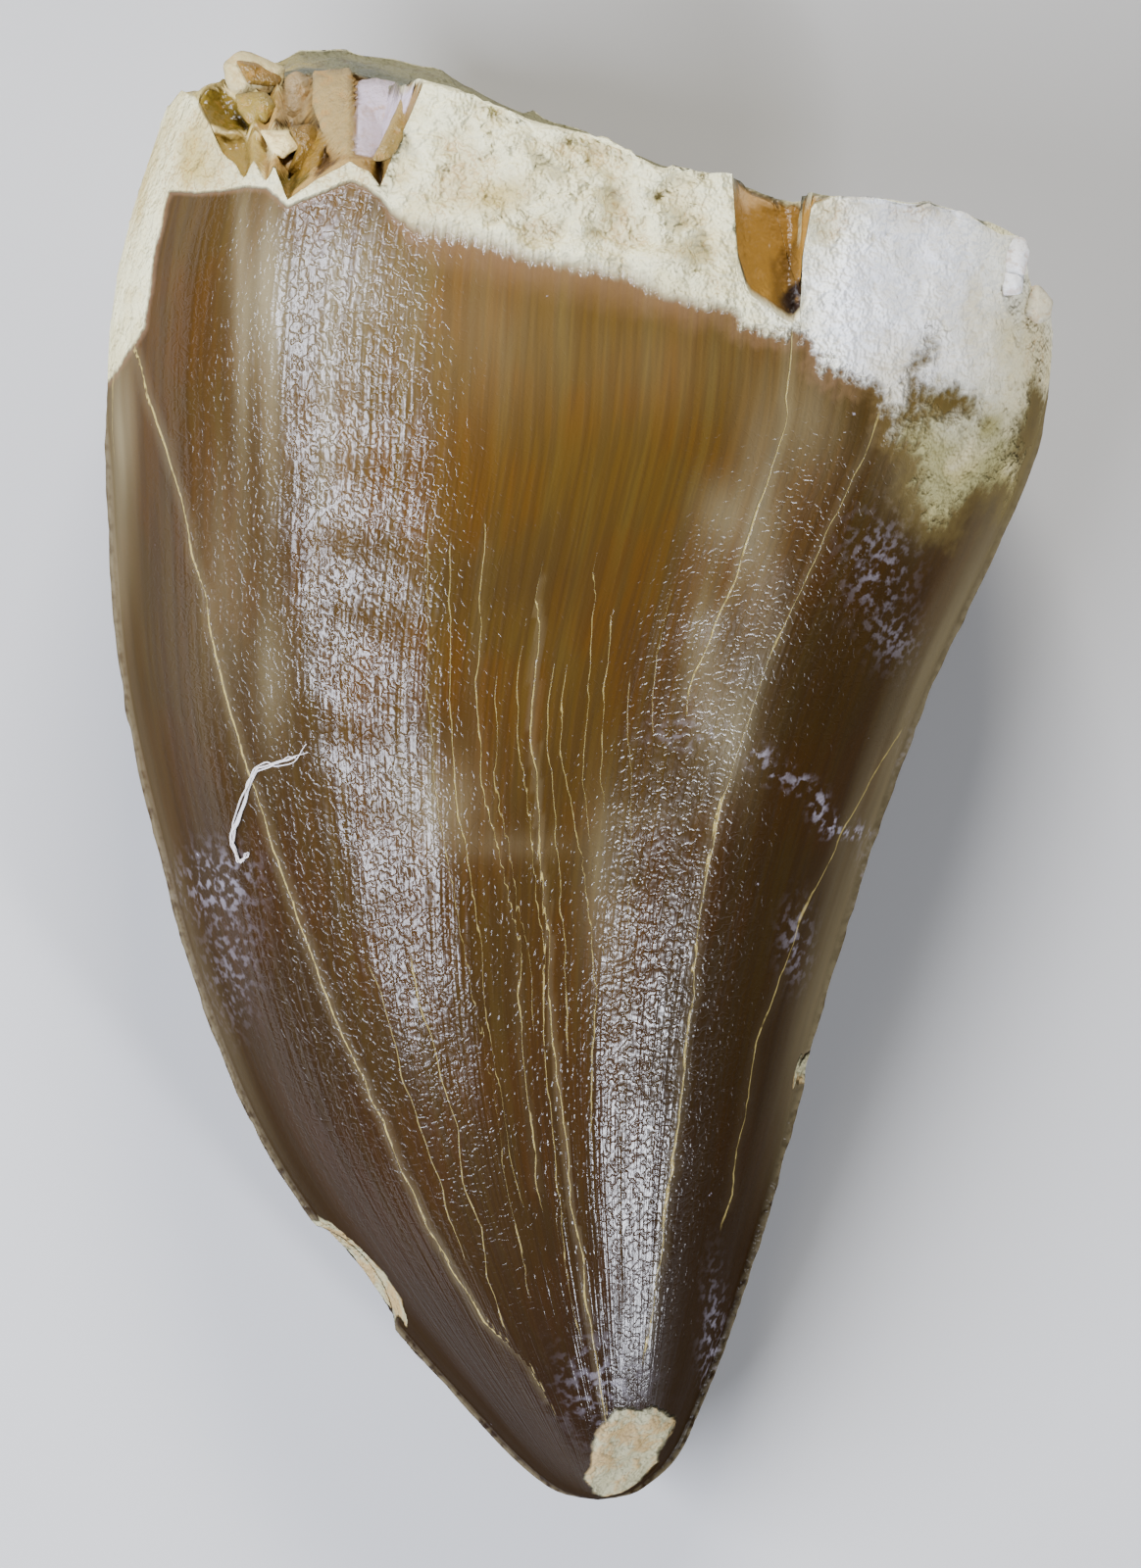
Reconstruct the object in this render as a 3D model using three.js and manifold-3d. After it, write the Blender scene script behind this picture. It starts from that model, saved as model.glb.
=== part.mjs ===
// A fossil mosasaur tooth, lying on its back: a brown, two-keeled conical crown with a worn tip,
// and a stump of cream root whose end is broken across, chipped and notched.
// Millimetres. +X across the crown, +Y from the tip to the broken root, +Z up, out of the front face.

import * as THREE from "three";
import Module from "manifold-3d";
import { mergeVertices } from "three/addons/utils/BufferGeometryUtils.js";

const wasm = await Module();
wasm.setup();

// Driving dimensions
const tipY = -27.2; // the lowest point of the worn tip
const tipX = 0.7;
const tipZ = 4.3;
const evenRowsTopY = 15.4; // below every notch of the broken end
const flankBluntness = 0.56; // 0.5 is a round flank, more gives a sharper one
const ridgeReach = 0.3; // how far the fine ridge stands out along each keel
const ridgeShare = 0.01; // the share of a wall, from its keel inwards, that is the ridge
const ridgeThickness = 0.022; // as a share of the wall's height
const ridgeTopY = 13; // the ridges fade out on the root above this level
const facetShare = 0.5; // how far the front is flattened into its long faces
const rootCentre = { x: 0.4, z: 11.2 };
const rootLevelY = 22; // the level at which the root's walls are measured
const hollowDepth = 1.1; // how far the broken end dips between its walls
const crumbleHeight = 0.28;
const enamelColour = 0x6b4a25;

// Outline stations from the tip to the root: [Y, left keel X, right keel X]
const outline = [
  [-27.2, 0.6, 0.8],
  [-27.05, -0.35, 1.75],
  [-26.75, -1.1, 2.4],
  [-25.8, -2.3, 3.5],
  [-24.35, -3.7, 4.3],
  [-20.0, -7.5, 5.95],
  [-14.2, -11.6, 7.7],
  [-8.3, -14.15, 9.2],
  [-2.5, -15.75, 11.0],
  [3.3, -17.0, 13.15],
  [9.1, -17.5, 15.85],
  [12.0, -17.56, 17.0],
  [14.5, -17.5, 17.4],
  [17.5, -17.25, 17.5],
  [20.0, -16.75, 17.35],
  [24.0, -15.5, 16.85],
  [27.5, -14.2, 16.2],
];

// Side stations: [Y, keel Z, front Z, back Z]. The back runs just under 0 where the tooth rests.
const profile = [
  [-27.2, 4.3, 4.45, 4.15],
  [-27.05, 4.35, 5.5, 3.4],
  [-26.75, 4.4, 6.2, 2.8],
  [-25.8, 4.5, 7.5, 2.0],
  [-24.35, 4.7, 8.8, 1.35],
  [-22.9, 4.9, 9.8, 0.9],
  [-20.0, 5.3, 11.4, 0.35],
  [-15.0, 6.1, 13.8, -0.05],
  [-10.0, 6.9, 15.9, -0.25],
  [-5.0, 7.7, 17.7, -0.35],
  [0.0, 8.5, 19.2, -0.4],
  [5.0, 9.2, 20.5, -0.42],
  [10.0, 9.8, 21.6, -0.42],
  [15.0, 10.3, 22.5, -0.38],
  [20.0, 10.6, 23.1, -0.15],
  [24.0, 10.8, 23.3, 0.35],
  [27.5, 11.0, 23.3, 1.0],
];

// Edges of the front's long faces, as shares of the width: [Y, five edges from left to right]
const faceEdges = [
  [-24.0, 0.34, 0.47, 0.65, 0.79, 0.92],
  [-10.0, 0.3, 0.44, 0.63, 0.79, 0.92],
  [5.0, 0.22, 0.38, 0.62, 0.79, 0.92],
  [20.0, 0.17, 0.34, 0.62, 0.78, 0.92],
];

// The front wall's broken rim, left to right: [X, Y]. It is bitten into at the left and notched at the right.
const frontRim = [
  [-15.1, 24.7],
  [-14.65, 25.2],
  [-14.1, 24.7],
  [-13.6, 23.9],
  [-13, 22.7],
  [-12.5, 22.2],
  [-12.2, 21.7],
  [-11.9, 22.3],
  [-11.4, 21.5],
  [-11.1, 22.2],
  [-10.6, 20.9],
  [-9.5, 21.6],
  [-8.3, 22.2],
  [-7.5, 21.7],
  [-7.2, 21.3],
  [-6.8, 22.3],
  [-6.2, 23.6],
  [-5.6, 25],
  [-4.4, 24.8],
  [-3.2, 24.1],
  [-1.6, 23.45],
  [0.15, 23.1],
  [1.4, 22.6],
  [3.05, 21.85],
  [5.5, 21.65],
  [5.7, 18.7],
  [6.1, 17.3],
  [7.7, 16.3],
  [8, 16.6],
  [8.05, 18.5],
  [8.4, 20.6],
  [9.25, 20.95],
  [12.9, 20.8],
  [14.15, 20.5],
  [14.9, 20.05],
  [15.4, 19.75],
  [16.1, 19.75],
  [16.4, 19.2],
  [16.45, 17.95],
  [17, 17.6],
  [17.4, 17],
  [17.5, 16.4],
];

// The same rim as it was before the bite and the notch
const wholeRim = [
  [-15.1, 24.7],
  [-14.65, 25.2],
  [-13.2, 25.6],
  [-12.6, 26.4],
  [-10.6, 26.1],
  [-8.3, 25.8],
  [-5.6, 25.2],
  [-4.4, 24.8],
  [-3.2, 24.1],
  [0.15, 23.1],
  [3.05, 21.85],
  [5.5, 21.65],
  [9.25, 20.95],
  [14.15, 20.5],
  [16.1, 19.75],
  [17.5, 16.4],
];

// The back wall's rim, left to right: [X, Y]
const backRim = [
  [-15.1, 24.7],
  [-14.6, 25.2],
  [-13.2, 25.7],
  [-12.5, 26.6],
  [-11.1, 26.7],
  [-10.6, 27.1],
  [-8.8, 27.2],
  [-5.1, 26.55],
  [-4.2, 26],
  [-1.1, 24.65],
  [3.6, 22.9],
  [8.9, 21],
  [14.1, 19.3],
  [16.7, 18],
  [17.5, 16.4],
];

// How steeply the broken faces climb from the front rim: [X, rise for each millimetre inwards]
const climb = [
  [-15.1, 1.6],
  [-13.6, 1.1],
  [-10.3, 0.75],
  [-6.8, 0.85],
  [-5.6, 2.0],
  [5.8, 2.0],
  [7.6, 2.1],
  [8.35, 3.0],
  [17.5, 3.0],
];

// Splinters standing in the bite: middle, size, and turns about the X and Z axes in degrees
const splinters = [
  { at: [-11.9, 24.6, 11.2], size: [2.7, 3.4, 3.2], lean: -12, turn: -24 },
  { at: [-10.45, 24.3, 13.6], size: [0.75, 3.0, 2.2], lean: -18, turn: -17 },
  { at: [-11.3, 22.9, 14.6], size: [1.7, 1.3, 1.6], lean: -25, turn: 8 },
  { at: [-9.95, 22.2, 16.0], size: [1.45, 2.4, 2.0], lean: -20, turn: 12 },
  { at: [-10.9, 21.8, 16.2], size: [1.1, 1.5, 1.5], lean: -15, turn: -30 },
];

// Lumps where the root wall crumbles at its right edge: middle and radius
const lumps = [
  { at: [15.75, 18.9, 13.3], radius: 0.85 },
  { at: [15.7, 17.9, 14.3], radius: 0.65 },
  { at: [16.65, 17.15, 12.6], radius: 0.85 },
];

// Flat cuts: a point on each and the direction it faces
const flats = {
  rest: { at: [0, 0, 0], facing: [0, 0, -1] },
  wornTip: { at: [2.2, -25.7, 6.3], facing: [0.45, -0.7, 0.6] },
};

// Round flakes knocked off the keels: the middle and radius of the ball that bites each out
const flakes = {
  keelChip: { at: [-10.4, -20.6, 7.1], radius: 4 },
  keelNick: { at: [9.3, -11.2, 7.6], radius: 1.3 },
};

// Straight lines between stations, for one column of a table
function between(table, column) {
  return (at) => {
    if (at <= table[0][0]) return table[0][column];
    for (let i = 1; i < table.length; i++) {
      const [a, b] = [table[i - 1], table[i]];
      if (at <= b[0]) return THREE.MathUtils.lerp(a[column], b[column], (at - a[0]) / (b[0] - a[0]));
    }
    return table[table.length - 1][column];
  };
}

// A smooth curve through the stations: cubics whose slope at each is that of its neighbours' line.
function through(table, column) {
  const slopes = table.map((row, i) => {
    const before = table[Math.max(i - 1, 0)];
    const after = table[Math.min(i + 1, table.length - 1)];
    return (after[column] - before[column]) / (after[0] - before[0]);
  });
  return (at) => {
    const held = THREE.MathUtils.clamp(at, table[0][0], table[table.length - 1][0]);
    let i = 1;
    while (i < table.length - 1 && held > table[i][0]) i++;
    const [a, b] = [table[i - 1], table[i]];
    const span = b[0] - a[0];
    const s = (held - a[0]) / span;
    const rise = 3 * s ** 2 - 2 * s ** 3;
    const leaving = span * (s ** 3 - 2 * s ** 2 + s);
    const arriving = span * (s ** 3 - s ** 2);
    return a[column] * (1 - rise) + b[column] * rise + slopes[i - 1] * leaving + slopes[i] * arriving;
  };
}

const leftX = through(outline, 1);
const rightX = through(outline, 2);
const keelZ = through(profile, 1);
const frontZ = through(profile, 2);
const backZ = through(profile, 3);

const dome = (share) => (4 * Math.max(share * (1 - share), 0)) ** flankBluntness;

// The front's cross-section: the dome, partly flattened between the long faces' edges.
function facetedDome(share, y) {
  const edges = [0, 0.09, ...[1, 2, 3, 4, 5].map((column) => between(faceEdges, column)(y)), 1];
  let i = 1;
  while (i < edges.length - 1 && share > edges[i]) i++;
  const [a, b] = [edges[i - 1], edges[i]];
  const flat = THREE.MathUtils.lerp(dome(a), dome(b), (share - a) / (b - a));
  const inner = a > 0 && b < 1 ? facetShare : 0;
  return dome(share) * (1 - inner) + flat * inner;
}

// A point of the front or back wall, from the left keel to the right one, each with its fine ridge.
function wallPoint(front, share, y) {
  const ridge = ridgeReach * THREE.MathUtils.smoothstep(ridgeTopY - y, -2, 3) + 0.02;
  const onLeft = Math.min(share / ridgeShare, 1);
  const onRight = Math.min((1 - share) / ridgeShare, 1);
  const inside = THREE.MathUtils.clamp((share - ridgeShare) / (1 - 2 * ridgeShare), 0, 1);
  const left = leftX(y);
  const right = rightX(y);
  const x = left + ridge * onLeft + (right - left - 2 * ridge) * inside + ridge * (1 - onRight);
  const thickness = ridgeThickness * Math.min(onLeft, onRight);
  const keel = keelZ(y);
  const z = front
    ? keel + (frontZ(y) - keel) * (facetedDome(inside, y) * (1 - ridgeThickness) + thickness)
    : keel - (keel - backZ(y)) * (dome(inside) * (1 - ridgeThickness) + thickness);
  return new THREE.Vector3(x, y, z);
}

// Height of the broken end over a point of its cross-section.
function brokenEnd(x, z) {
  const left = leftX(rootLevelY);
  const share = THREE.MathUtils.clamp((x - left) / (rightX(rootLevelY) - left), 0, 1);
  const front = wallPoint(true, share, rootLevelY).z;
  const back = wallPoint(false, share, rootLevelY).z;
  const depth = THREE.MathUtils.clamp((front - z) / Math.max(front - back, 0.5), 0, 1);
  const hollow = hollowDepth * Math.sin(Math.PI * depth) * dome(share);
  const crumble = crumbleHeight * Math.sin(1.9 * x + 0.7 * z) * Math.sin(1.3 * z - 0.8 * x);
  const plain = THREE.MathUtils.lerp(between(wholeRim, 1)(x), between(backRim, 1)(x), depth) - hollow;
  const broken = between(frontRim, 1)(x) + between(climb, 1)(x) * Math.max(front - z, 0);
  return Math.min(plain + crumble * Math.sin(Math.PI * depth), broken);
}

// The columns of the mesh, as shares of the width: one at each corner of the rim, and more towards the keels.
function shareAtRim([x, y]) {
  const left = leftX(y);
  return (x - left) / (rightX(y) - left);
}
const flankShares = [0, 0.01, 0.014, 0.024, 0.042];
const frontShares = [
  ...flankShares,
  ...frontRim.map(shareAtRim).filter((share) => share > 0.05 && share < 0.95),
  ...flankShares.map((share) => 1 - share).reverse(),
];
const backShares = [0.99, 0.986, 0.976, 0.955];
for (let i = 0; i < 18; i++) backShares.push(0.92 - (0.84 * i) / 17);
backShares.push(0.045, 0.024, 0.014, 0.01);
const columns = [
  ...frontShares.map((share) => ({ front: true, share })),
  ...backShares.map((share) => ({ front: false, share })),
];

// Where a column ends at the broken end
function rimPoint({ front, share }) {
  const rim = between(front ? frontRim : backRim, 1);
  let y = rootLevelY;
  for (let i = 0; i < 12; i++) y = rim(wallPoint(front, share, y).x);
  return wallPoint(front, share, y);
}

const lowerRows = 34;
const upperRows = 12;
const capRows = 17;

function toothBody() {
  const tops = columns.map(rimPoint);
  const rings = [];
  for (let row = 1; row <= lowerRows; row++) {
    const y = tipY + (evenRowsTopY - tipY) * (row / lowerRows) ** 1.5;
    rings.push(columns.map(({ front, share }) => wallPoint(front, share, y)));
  }
  for (let row = 1; row <= upperRows; row++)
    rings.push(
      columns.map(({ front, share }, i) =>
        wallPoint(front, share, THREE.MathUtils.lerp(evenRowsTopY, tops[i].y, row / upperRows)),
      ),
    );
  for (let row = 1; row < capRows; row++) {
    const reach = 1 - (row / capRows) ** 1.15;
    rings.push(
      tops.map((top) => {
        const x = rootCentre.x + (top.x - rootCentre.x) * reach;
        const z = rootCentre.z + (top.z - rootCentre.z) * reach;
        return new THREE.Vector3(x, brokenEnd(x, z), z);
      }),
    );
  }
  const tip = new THREE.Vector3(tipX, tipY, tipZ);
  const middle = new THREE.Vector3(rootCentre.x, brokenEnd(rootCentre.x, rootCentre.z), rootCentre.z);
  return closedRings(rings, tip, middle);
}

// A closed solid from rings of points, with a point at each end.
function closedRings(rings, first, last) {
  const n = rings[0].length;
  const points = [first, ...rings.flat(), last];
  const at = (ring, i) => 1 + ring * n + (i % n);
  const faces = [];
  for (let i = 0; i < n; i++) faces.push([0, at(0, i + 1), at(0, i)]);
  for (let ring = 1; ring < rings.length; ring++)
    for (let i = 0; i < n; i++) {
      const [a, b, c, d] = [at(ring - 1, i), at(ring - 1, i + 1), at(ring, i + 1), at(ring, i)];
      faces.push([a, b, c], [a, c, d]);
    }
  for (let i = 0; i < n; i++)
    faces.push([at(rings.length - 1, i), at(rings.length - 1, i + 1), points.length - 1]);
  const geometry = new THREE.BufferGeometry().setFromPoints(points);
  geometry.setIndex(faces.flat());
  return geometry;
}

function solidOf(geometry) {
  const bare = geometry.clone().deleteAttribute("normal").deleteAttribute("uv");
  const merged = mergeVertices(bare, 1e-4);
  return new wasm.Manifold(
    new wasm.Mesh({
      numProp: 3,
      vertProperties: merged.attributes.position.array,
      triVerts: new Uint32Array(merged.index.array),
    }),
  );
}

function geometryOf(solid) {
  const mesh = solid.getMesh();
  return new THREE.BufferGeometry()
    .setAttribute("position", new THREE.BufferAttribute(mesh.vertProperties, 3))
    .setIndex(new THREE.BufferAttribute(mesh.triVerts, 1));
}

// A block whose face lies on the cut, on the side that is taken away
function blockBeyond({ at, facing }) {
  const size = 80;
  const normal = new THREE.Vector3(...facing).normalize();
  const block = new THREE.BoxGeometry(size, size, size);
  block.applyQuaternion(new THREE.Quaternion().setFromUnitVectors(new THREE.Vector3(0, 0, 1), normal));
  const centre = new THREE.Vector3(...at).addScaledVector(normal, size / 2);
  return solidOf(block.translate(centre.x, centre.y, centre.z));
}

function splinterBody({ at, size, lean, turn }) {
  const turns = new THREE.Euler(THREE.MathUtils.degToRad(lean), 0, THREE.MathUtils.degToRad(turn));
  const block = new THREE.BoxGeometry(...size);
  return block.applyQuaternion(new THREE.Quaternion().setFromEuler(turns)).translate(...at);
}

function lumpBody({ at, radius }) {
  return new THREE.IcosahedronGeometry(radius, 2).translate(...at);
}

function tooth() {
  let solid = solidOf(toothBody());
  for (const splinter of splinters) solid = solid.add(solidOf(splinterBody(splinter)));
  for (const lump of lumps) solid = solid.add(solidOf(lumpBody(lump)));
  for (const flat of Object.values(flats)) solid = solid.subtract(blockBeyond(flat));
  for (const { at, radius } of Object.values(flakes))
    solid = solid.subtract(solidOf(new THREE.SphereGeometry(radius, 20, 14).translate(...at)));
  const geometry = geometryOf(solid);
  geometry.computeVertexNormals();
  const material = new THREE.MeshStandardMaterial({ color: enamelColour, roughness: 0.35, metalness: 0 });
  const mesh = new THREE.Mesh(geometry, material);
  mesh.name = "tooth";
  return mesh;
}

const part = new THREE.Group();
part.add(tooth());

export default part;
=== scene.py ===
import itertools
import math
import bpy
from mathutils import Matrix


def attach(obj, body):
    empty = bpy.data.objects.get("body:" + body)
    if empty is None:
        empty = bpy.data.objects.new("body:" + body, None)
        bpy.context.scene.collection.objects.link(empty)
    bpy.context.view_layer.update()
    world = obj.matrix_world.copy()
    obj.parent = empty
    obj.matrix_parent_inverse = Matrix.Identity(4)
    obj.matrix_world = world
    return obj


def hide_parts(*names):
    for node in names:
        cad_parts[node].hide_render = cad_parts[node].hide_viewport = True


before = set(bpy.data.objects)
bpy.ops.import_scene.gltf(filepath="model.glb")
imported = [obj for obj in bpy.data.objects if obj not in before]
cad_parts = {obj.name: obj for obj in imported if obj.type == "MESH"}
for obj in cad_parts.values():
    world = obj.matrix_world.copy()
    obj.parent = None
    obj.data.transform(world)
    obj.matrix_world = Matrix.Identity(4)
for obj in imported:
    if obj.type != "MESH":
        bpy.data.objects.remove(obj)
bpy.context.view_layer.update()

from types import SimpleNamespace

import bpy
import numpy as np
from mathutils import Matrix, Vector

mm = 0.001  # in metres
print("frame loaded")

# The tooth's shape, in millimetres: the same stations as the solid's, and what roughens and wears it
toothShape = {
    # y, left keel x, right keel x
    "outline": [
        (-27.2, 0.6, 0.8), (-27.05, -0.35, 1.75), (-26.75, -1.1, 2.4), (-25.8, -2.3, 3.5),
        (-24.35, -3.7, 4.3), (-20, -7.5, 5.95), (-14.2, -11.6, 7.7), (-8.3, -14.15, 9.2),
        (-2.5, -15.75, 11), (3.3, -17, 13.15), (9.1, -17.5, 15.85), (12, -17.56, 17),
        (14.5, -17.5, 17.4), (17.5, -17.25, 17.5), (20, -16.75, 17.35), (24, -15.5, 16.85),
        (27.5, -14.2, 16.2)],
    # y, keel z, front z, back z
    "profile": [
        (-27.2, 4.3, 4.45, 4.15), (-27.05, 4.35, 5.5, 3.4), (-26.75, 4.4, 6.2, 2.8),
        (-25.8, 4.5, 7.5, 2), (-24.35, 4.7, 8.8, 1.35), (-22.9, 4.9, 9.8, 0.9),
        (-20, 5.3, 11.4, 0.35), (-15, 6.1, 13.8, -0.05), (-10, 6.9, 15.9, -0.25),
        (-5, 7.7, 17.7, -0.35), (0, 8.5, 19.2, -0.4), (5, 9.2, 20.5, -0.42),
        (10, 9.8, 21.6, -0.42), (15, 10.3, 22.5, -0.38), (20, 10.6, 23.1, -0.15),
        (24, 10.8, 23.3, 0.35), (27.5, 11, 23.3, 1)],
    # y, then the edges of the front's long faces as shares of the width
    "faceEdges": [
        (-24, 0, 0.09, 0.34, 0.47, 0.65, 0.79, 0.92, 1),
        (-10, 0, 0.09, 0.3, 0.44, 0.63, 0.79, 0.92, 1),
        (5, 0, 0.09, 0.22, 0.38, 0.62, 0.79, 0.92, 1),
        (20, 0, 0.09, 0.17, 0.34, 0.62, 0.78, 0.92, 1)],
    # x, y of the broken rim of the front wall, with its bite and notch, and as it was without them
    "frontRim": [
        (-15.1, 24.7), (-14.65, 25.2), (-14.1, 24.7), (-13.6, 23.9), (-13, 22.7), (-12.5, 22.2),
        (-12.2, 21.7), (-11.9, 22.3), (-11.4, 21.5), (-11.1, 22.2), (-10.6, 20.9), (-9.5, 21.6),
        (-8.3, 22.2), (-7.5, 21.7), (-7.2, 21.3), (-6.8, 22.3), (-6.2, 23.6), (-5.6, 25),
        (-4.4, 24.8), (-3.2, 24.1), (-1.6, 23.45), (0.15, 23.1), (1.4, 22.6), (3.05, 21.85),
        (5.5, 21.65), (5.7, 18.7), (6.1, 17.3), (7.7, 16.3), (8, 16.6), (8.05, 18.5),
        (8.4, 20.6), (9.25, 20.95), (12.9, 20.8), (14.15, 20.5), (14.9, 20.05), (15.4, 19.75),
        (16.1, 19.75), (16.4, 19.2), (16.45, 17.95), (17, 17.6), (17.4, 17), (17.5, 16.4)],
    "wholeRim": [
        (-15.1, 24.7), (-14.65, 25.2), (-13.2, 25.6), (-12.6, 26.4), (-10.6, 26.1), (-8.3, 25.8),
        (-5.6, 25.2), (-4.4, 24.8), (-3.2, 24.1), (0.15, 23.1), (3.05, 21.85), (5.5, 21.65),
        (9.25, 20.95), (14.15, 20.5), (16.1, 19.75), (17.5, 16.4)],
    "backRim": [
        (-15.1, 24.7), (-14.6, 25.2), (-13.2, 25.7), (-12.5, 26.6), (-11.1, 26.7), (-10.6, 27.1),
        (-8.8, 27.2), (-5.1, 26.55), (-4.2, 26), (-1.1, 24.65), (3.6, 22.9), (8.9, 21),
        (14.1, 19.3), (16.7, 18), (17.5, 16.4)],
    # x, rise of the broken faces for each millimetre inwards
    "climb": [
        (-15.1, 1.6), (-13.6, 1.1), (-10.3, 0.75), (-6.8, 0.85), (-5.6, 2), (5.8, 2),
        (7.6, 2.1), (8.35, 3), (17.5, 3)],
    "tip": (0.7, -27.2, 4.3),
    "rootCentre": (0.4, 11.2),  # x, z
    "rootLevelY": 22,
    "evenRowsTopY": 15.4,
    "flankBluntness": 0.56,
    "facetShare": 0.5,
    "facetBlur": 0.018,
    "ridgeShare": 0.01,
    "ridgeReach": 0.3,
    "ridgeThickness": 0.022,
    "ridgeTopY": 13,
    "hollowDepth": 1.1,
    "wornTip": ((2.2, -25.7, 6.3), (0.45, -0.7, 0.6)),
    "flakes": [((-10.4, -20.6, 7.1), 4), ((9.3, -11.2, 7.6), 1.3)],
    "frontColumns": 268,
    "backColumns": 98,
    "lowerRows": 150,
    "upperRows": 48,
    "capRows": 68,
    "lowerSpacing": 1.25,
    "capSpacing": 1.45,
    "shareSteps": 4001,
    "columnLevelY": 12,
    "rimLevelY": 21,
    "rimWidth": 33.9,
    "steepest": 500,
    "steepWeight": 0.8,
    "biteWeight": 38,
    "ridgeWeight": 30,
    "biteSpan": (-15.4, -14.6, -6.2, -5.4),
    "raggedSpan": (-5.5, -3, 4, 6),
    # noises: height, size
    "breakNoise": (0.42, 3.1),
    "rimNoise": (0.13, 0.9),
    "softCrumbs": (0.45, 1.5),
    "sharpCrumbs": (0.55, 1.2),
    "rootNoise": (0.08, 0.8),
    "wearNoise": (0.12, 0.9),
    "swells": ((0.05, 4.5), (0.03, 1.5)),
    "biteNoise": (0.08, 0.55, -10.0),  # and the x that it ends at
    "beads": ((0.015, 17), (0.05, 1.1), 0.04),  # height and pace, noise and size, and the most of both
    "waves": (0.05, 2.35, 0.5),  # height, turn for each millimetre of y and of x
    "waveSpot": (-8.6, 5.5, 2.4, 8.5, 1),  # x, y, half width, half height, strength
    "deepestPit": 0.42,
    "biteX": (-15.3, -4.5),
    "notchX": (4.5, 9.0),
    "biteColour": (166, 142, 92),  # where no form lies
    "dullRight": (0.74, 0.88, 0.95),  # shares between which the enamel turns dull, and how dull
}

# Small relief seen on the front wall: x, y, half width, half height, depth (minus) or rise
frontRelief = [
    (-4.3, 21.2, 0.3, 0.45, -0.5), (-4, 21.7, 0.5, 0.2, -0.35), (-2.5, 21.6, 0.35, 0.3, -0.3),
    (-3.5, 21.1, 0.45, 0.35, 0.3), (-2.9, 20.4, 0.35, 0.28, 0.25), (15.8, 18.9, 0.6, 0.8, 0.35),
    (16.9, 17.2, 0.6, 0.7, 0.4), (16.8, 16.9, 0.25, 0.25, -0.4), (9, 19.6, 0.6, 0.5, -0.3)]


def between(table, column, at):
    # straight lines between stations
    rows = np.array(table, float)
    return np.interp(at, rows[:, 0], rows[:, column])


def through(table, column, at):
    # cubics between stations, whose slope at each station is that of its neighbours' line
    rows = np.array(table, float)
    x, v = rows[:, 0], rows[:, column]
    index = np.arange(len(x))
    before, after = np.maximum(index - 1, 0), np.minimum(index + 1, len(x) - 1)
    slopes = (v[after] - v[before]) / (x[after] - x[before])
    held = np.clip(at, x[0], x[-1])
    i = np.clip(np.searchsorted(x, held), 1, len(x) - 1)
    span = x[i] - x[i - 1]
    s = (held - x[i - 1]) / span
    rise = 3 * s**2 - 2 * s**3
    leaving, arriving = span * (s**3 - 2 * s**2 + s), span * (s**3 - s**2)
    return v[i - 1] * (1 - rise) + v[i] * rise + slopes[i - 1] * leaving + slopes[i] * arriving


def smoothStep(low, high, value):
    # 0 below low, 1 above high, and 3t^2 - 2t^3 between them
    t = np.clip((value - low) / (high - low), 0, 1)
    return t * t * (3 - 2 * t)


def hump(span, value):
    # rises from 0 to 1 over the first two numbers of the span, and falls back over the last two
    return smoothStep(*span[:2], value) * (1 - smoothStep(*span[2:], value))


def keels(y):
    # x of the left and the right keel at level y
    return through(toothShape["outline"], 1, y), through(toothShape["outline"], 2, y)


def bumps(points, size, seed):
    # noise from -1 to 1: random values on a lattice of that size, blended smoothly between its corners
    place = points / size
    cell = np.floor(place).astype(np.int64)
    part = place - cell
    part = part * part * (3 - 2 * part)
    total = np.zeros(len(points))
    for corner in itertools.product((0, 1), repeat=3):
        mixed = (cell + corner) @ np.array([73856093, 19349663, 83492791]) + seed * 2654435761
        mixed = ((mixed ^ (mixed >> 13)) * 1274126177) & 0xFFFFFFFF
        value = (((mixed ^ (mixed >> 15)) * 2246822519) >> 8 & 0xFFFF) / 32767.5 - 1
        total += value * np.prod(np.where(corner, part, 1 - part), axis=1)
    return total


def layeredBumps(points, size, seed, layers=3, fall=0.5):
    # layers of noise, each half the size of the last and fall times as strong
    return sum(fall**k * bumps(points, size * 0.5**k, seed + k) for k in range(layers))


def distanceTo(x, y, points):
    # the least distance to the line through the points
    nearest = np.full(len(x), 1e9)
    for (ax, ay), (bx, by) in zip(points, points[1:]):
        along = np.clip(((x - ax) * (bx - ax) + (y - ay) * (by - ay)) / ((bx - ax)**2 + (by - ay)**2), 0, 1)
        nearest = np.minimum(nearest, np.hypot(x - ax - along * (bx - ax), y - ay - along * (by - ay)))
    return nearest


def insideBy(x, y, corners):
    # distance to a closed outline, positive inside it: where a ray crosses the outline an odd number of times
    closed = corners + corners[:1]
    inside = np.zeros(len(x), bool)
    for (ax, ay), (bx, by) in zip(closed, closed[1:]):
        inside ^= ((ay > y) != (by > y)) & (x < ax + (y - ay) * (bx - ax) / (by - ay + 1e-12))
    return distanceTo(x, y, closed) * np.where(inside, 1, -1)


def aboveLineBy(x, y, line):
    # distance to a line that runs from left to right, positive above it
    return distanceTo(x, y, line) * np.where(y > between(line, 1, x), 1, -1)


def spots(x, y, rows):
    # a sum of soft ellipses: strength * exp(-(dx/rx)^2 - (dy/ry)^2)
    return sum(s * np.exp(-((x - cx) / rx)**2 - ((y - cy) / ry)**2) for cx, cy, rx, ry, s in rows)


def dome(share):
    # height of a round wall, from 0 at the keels to 1 between them: 4 s (1 - s) to the flanks' power
    return (4 * np.maximum(share * (1 - share), 0)) ** toothShape["flankBluntness"]


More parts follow.
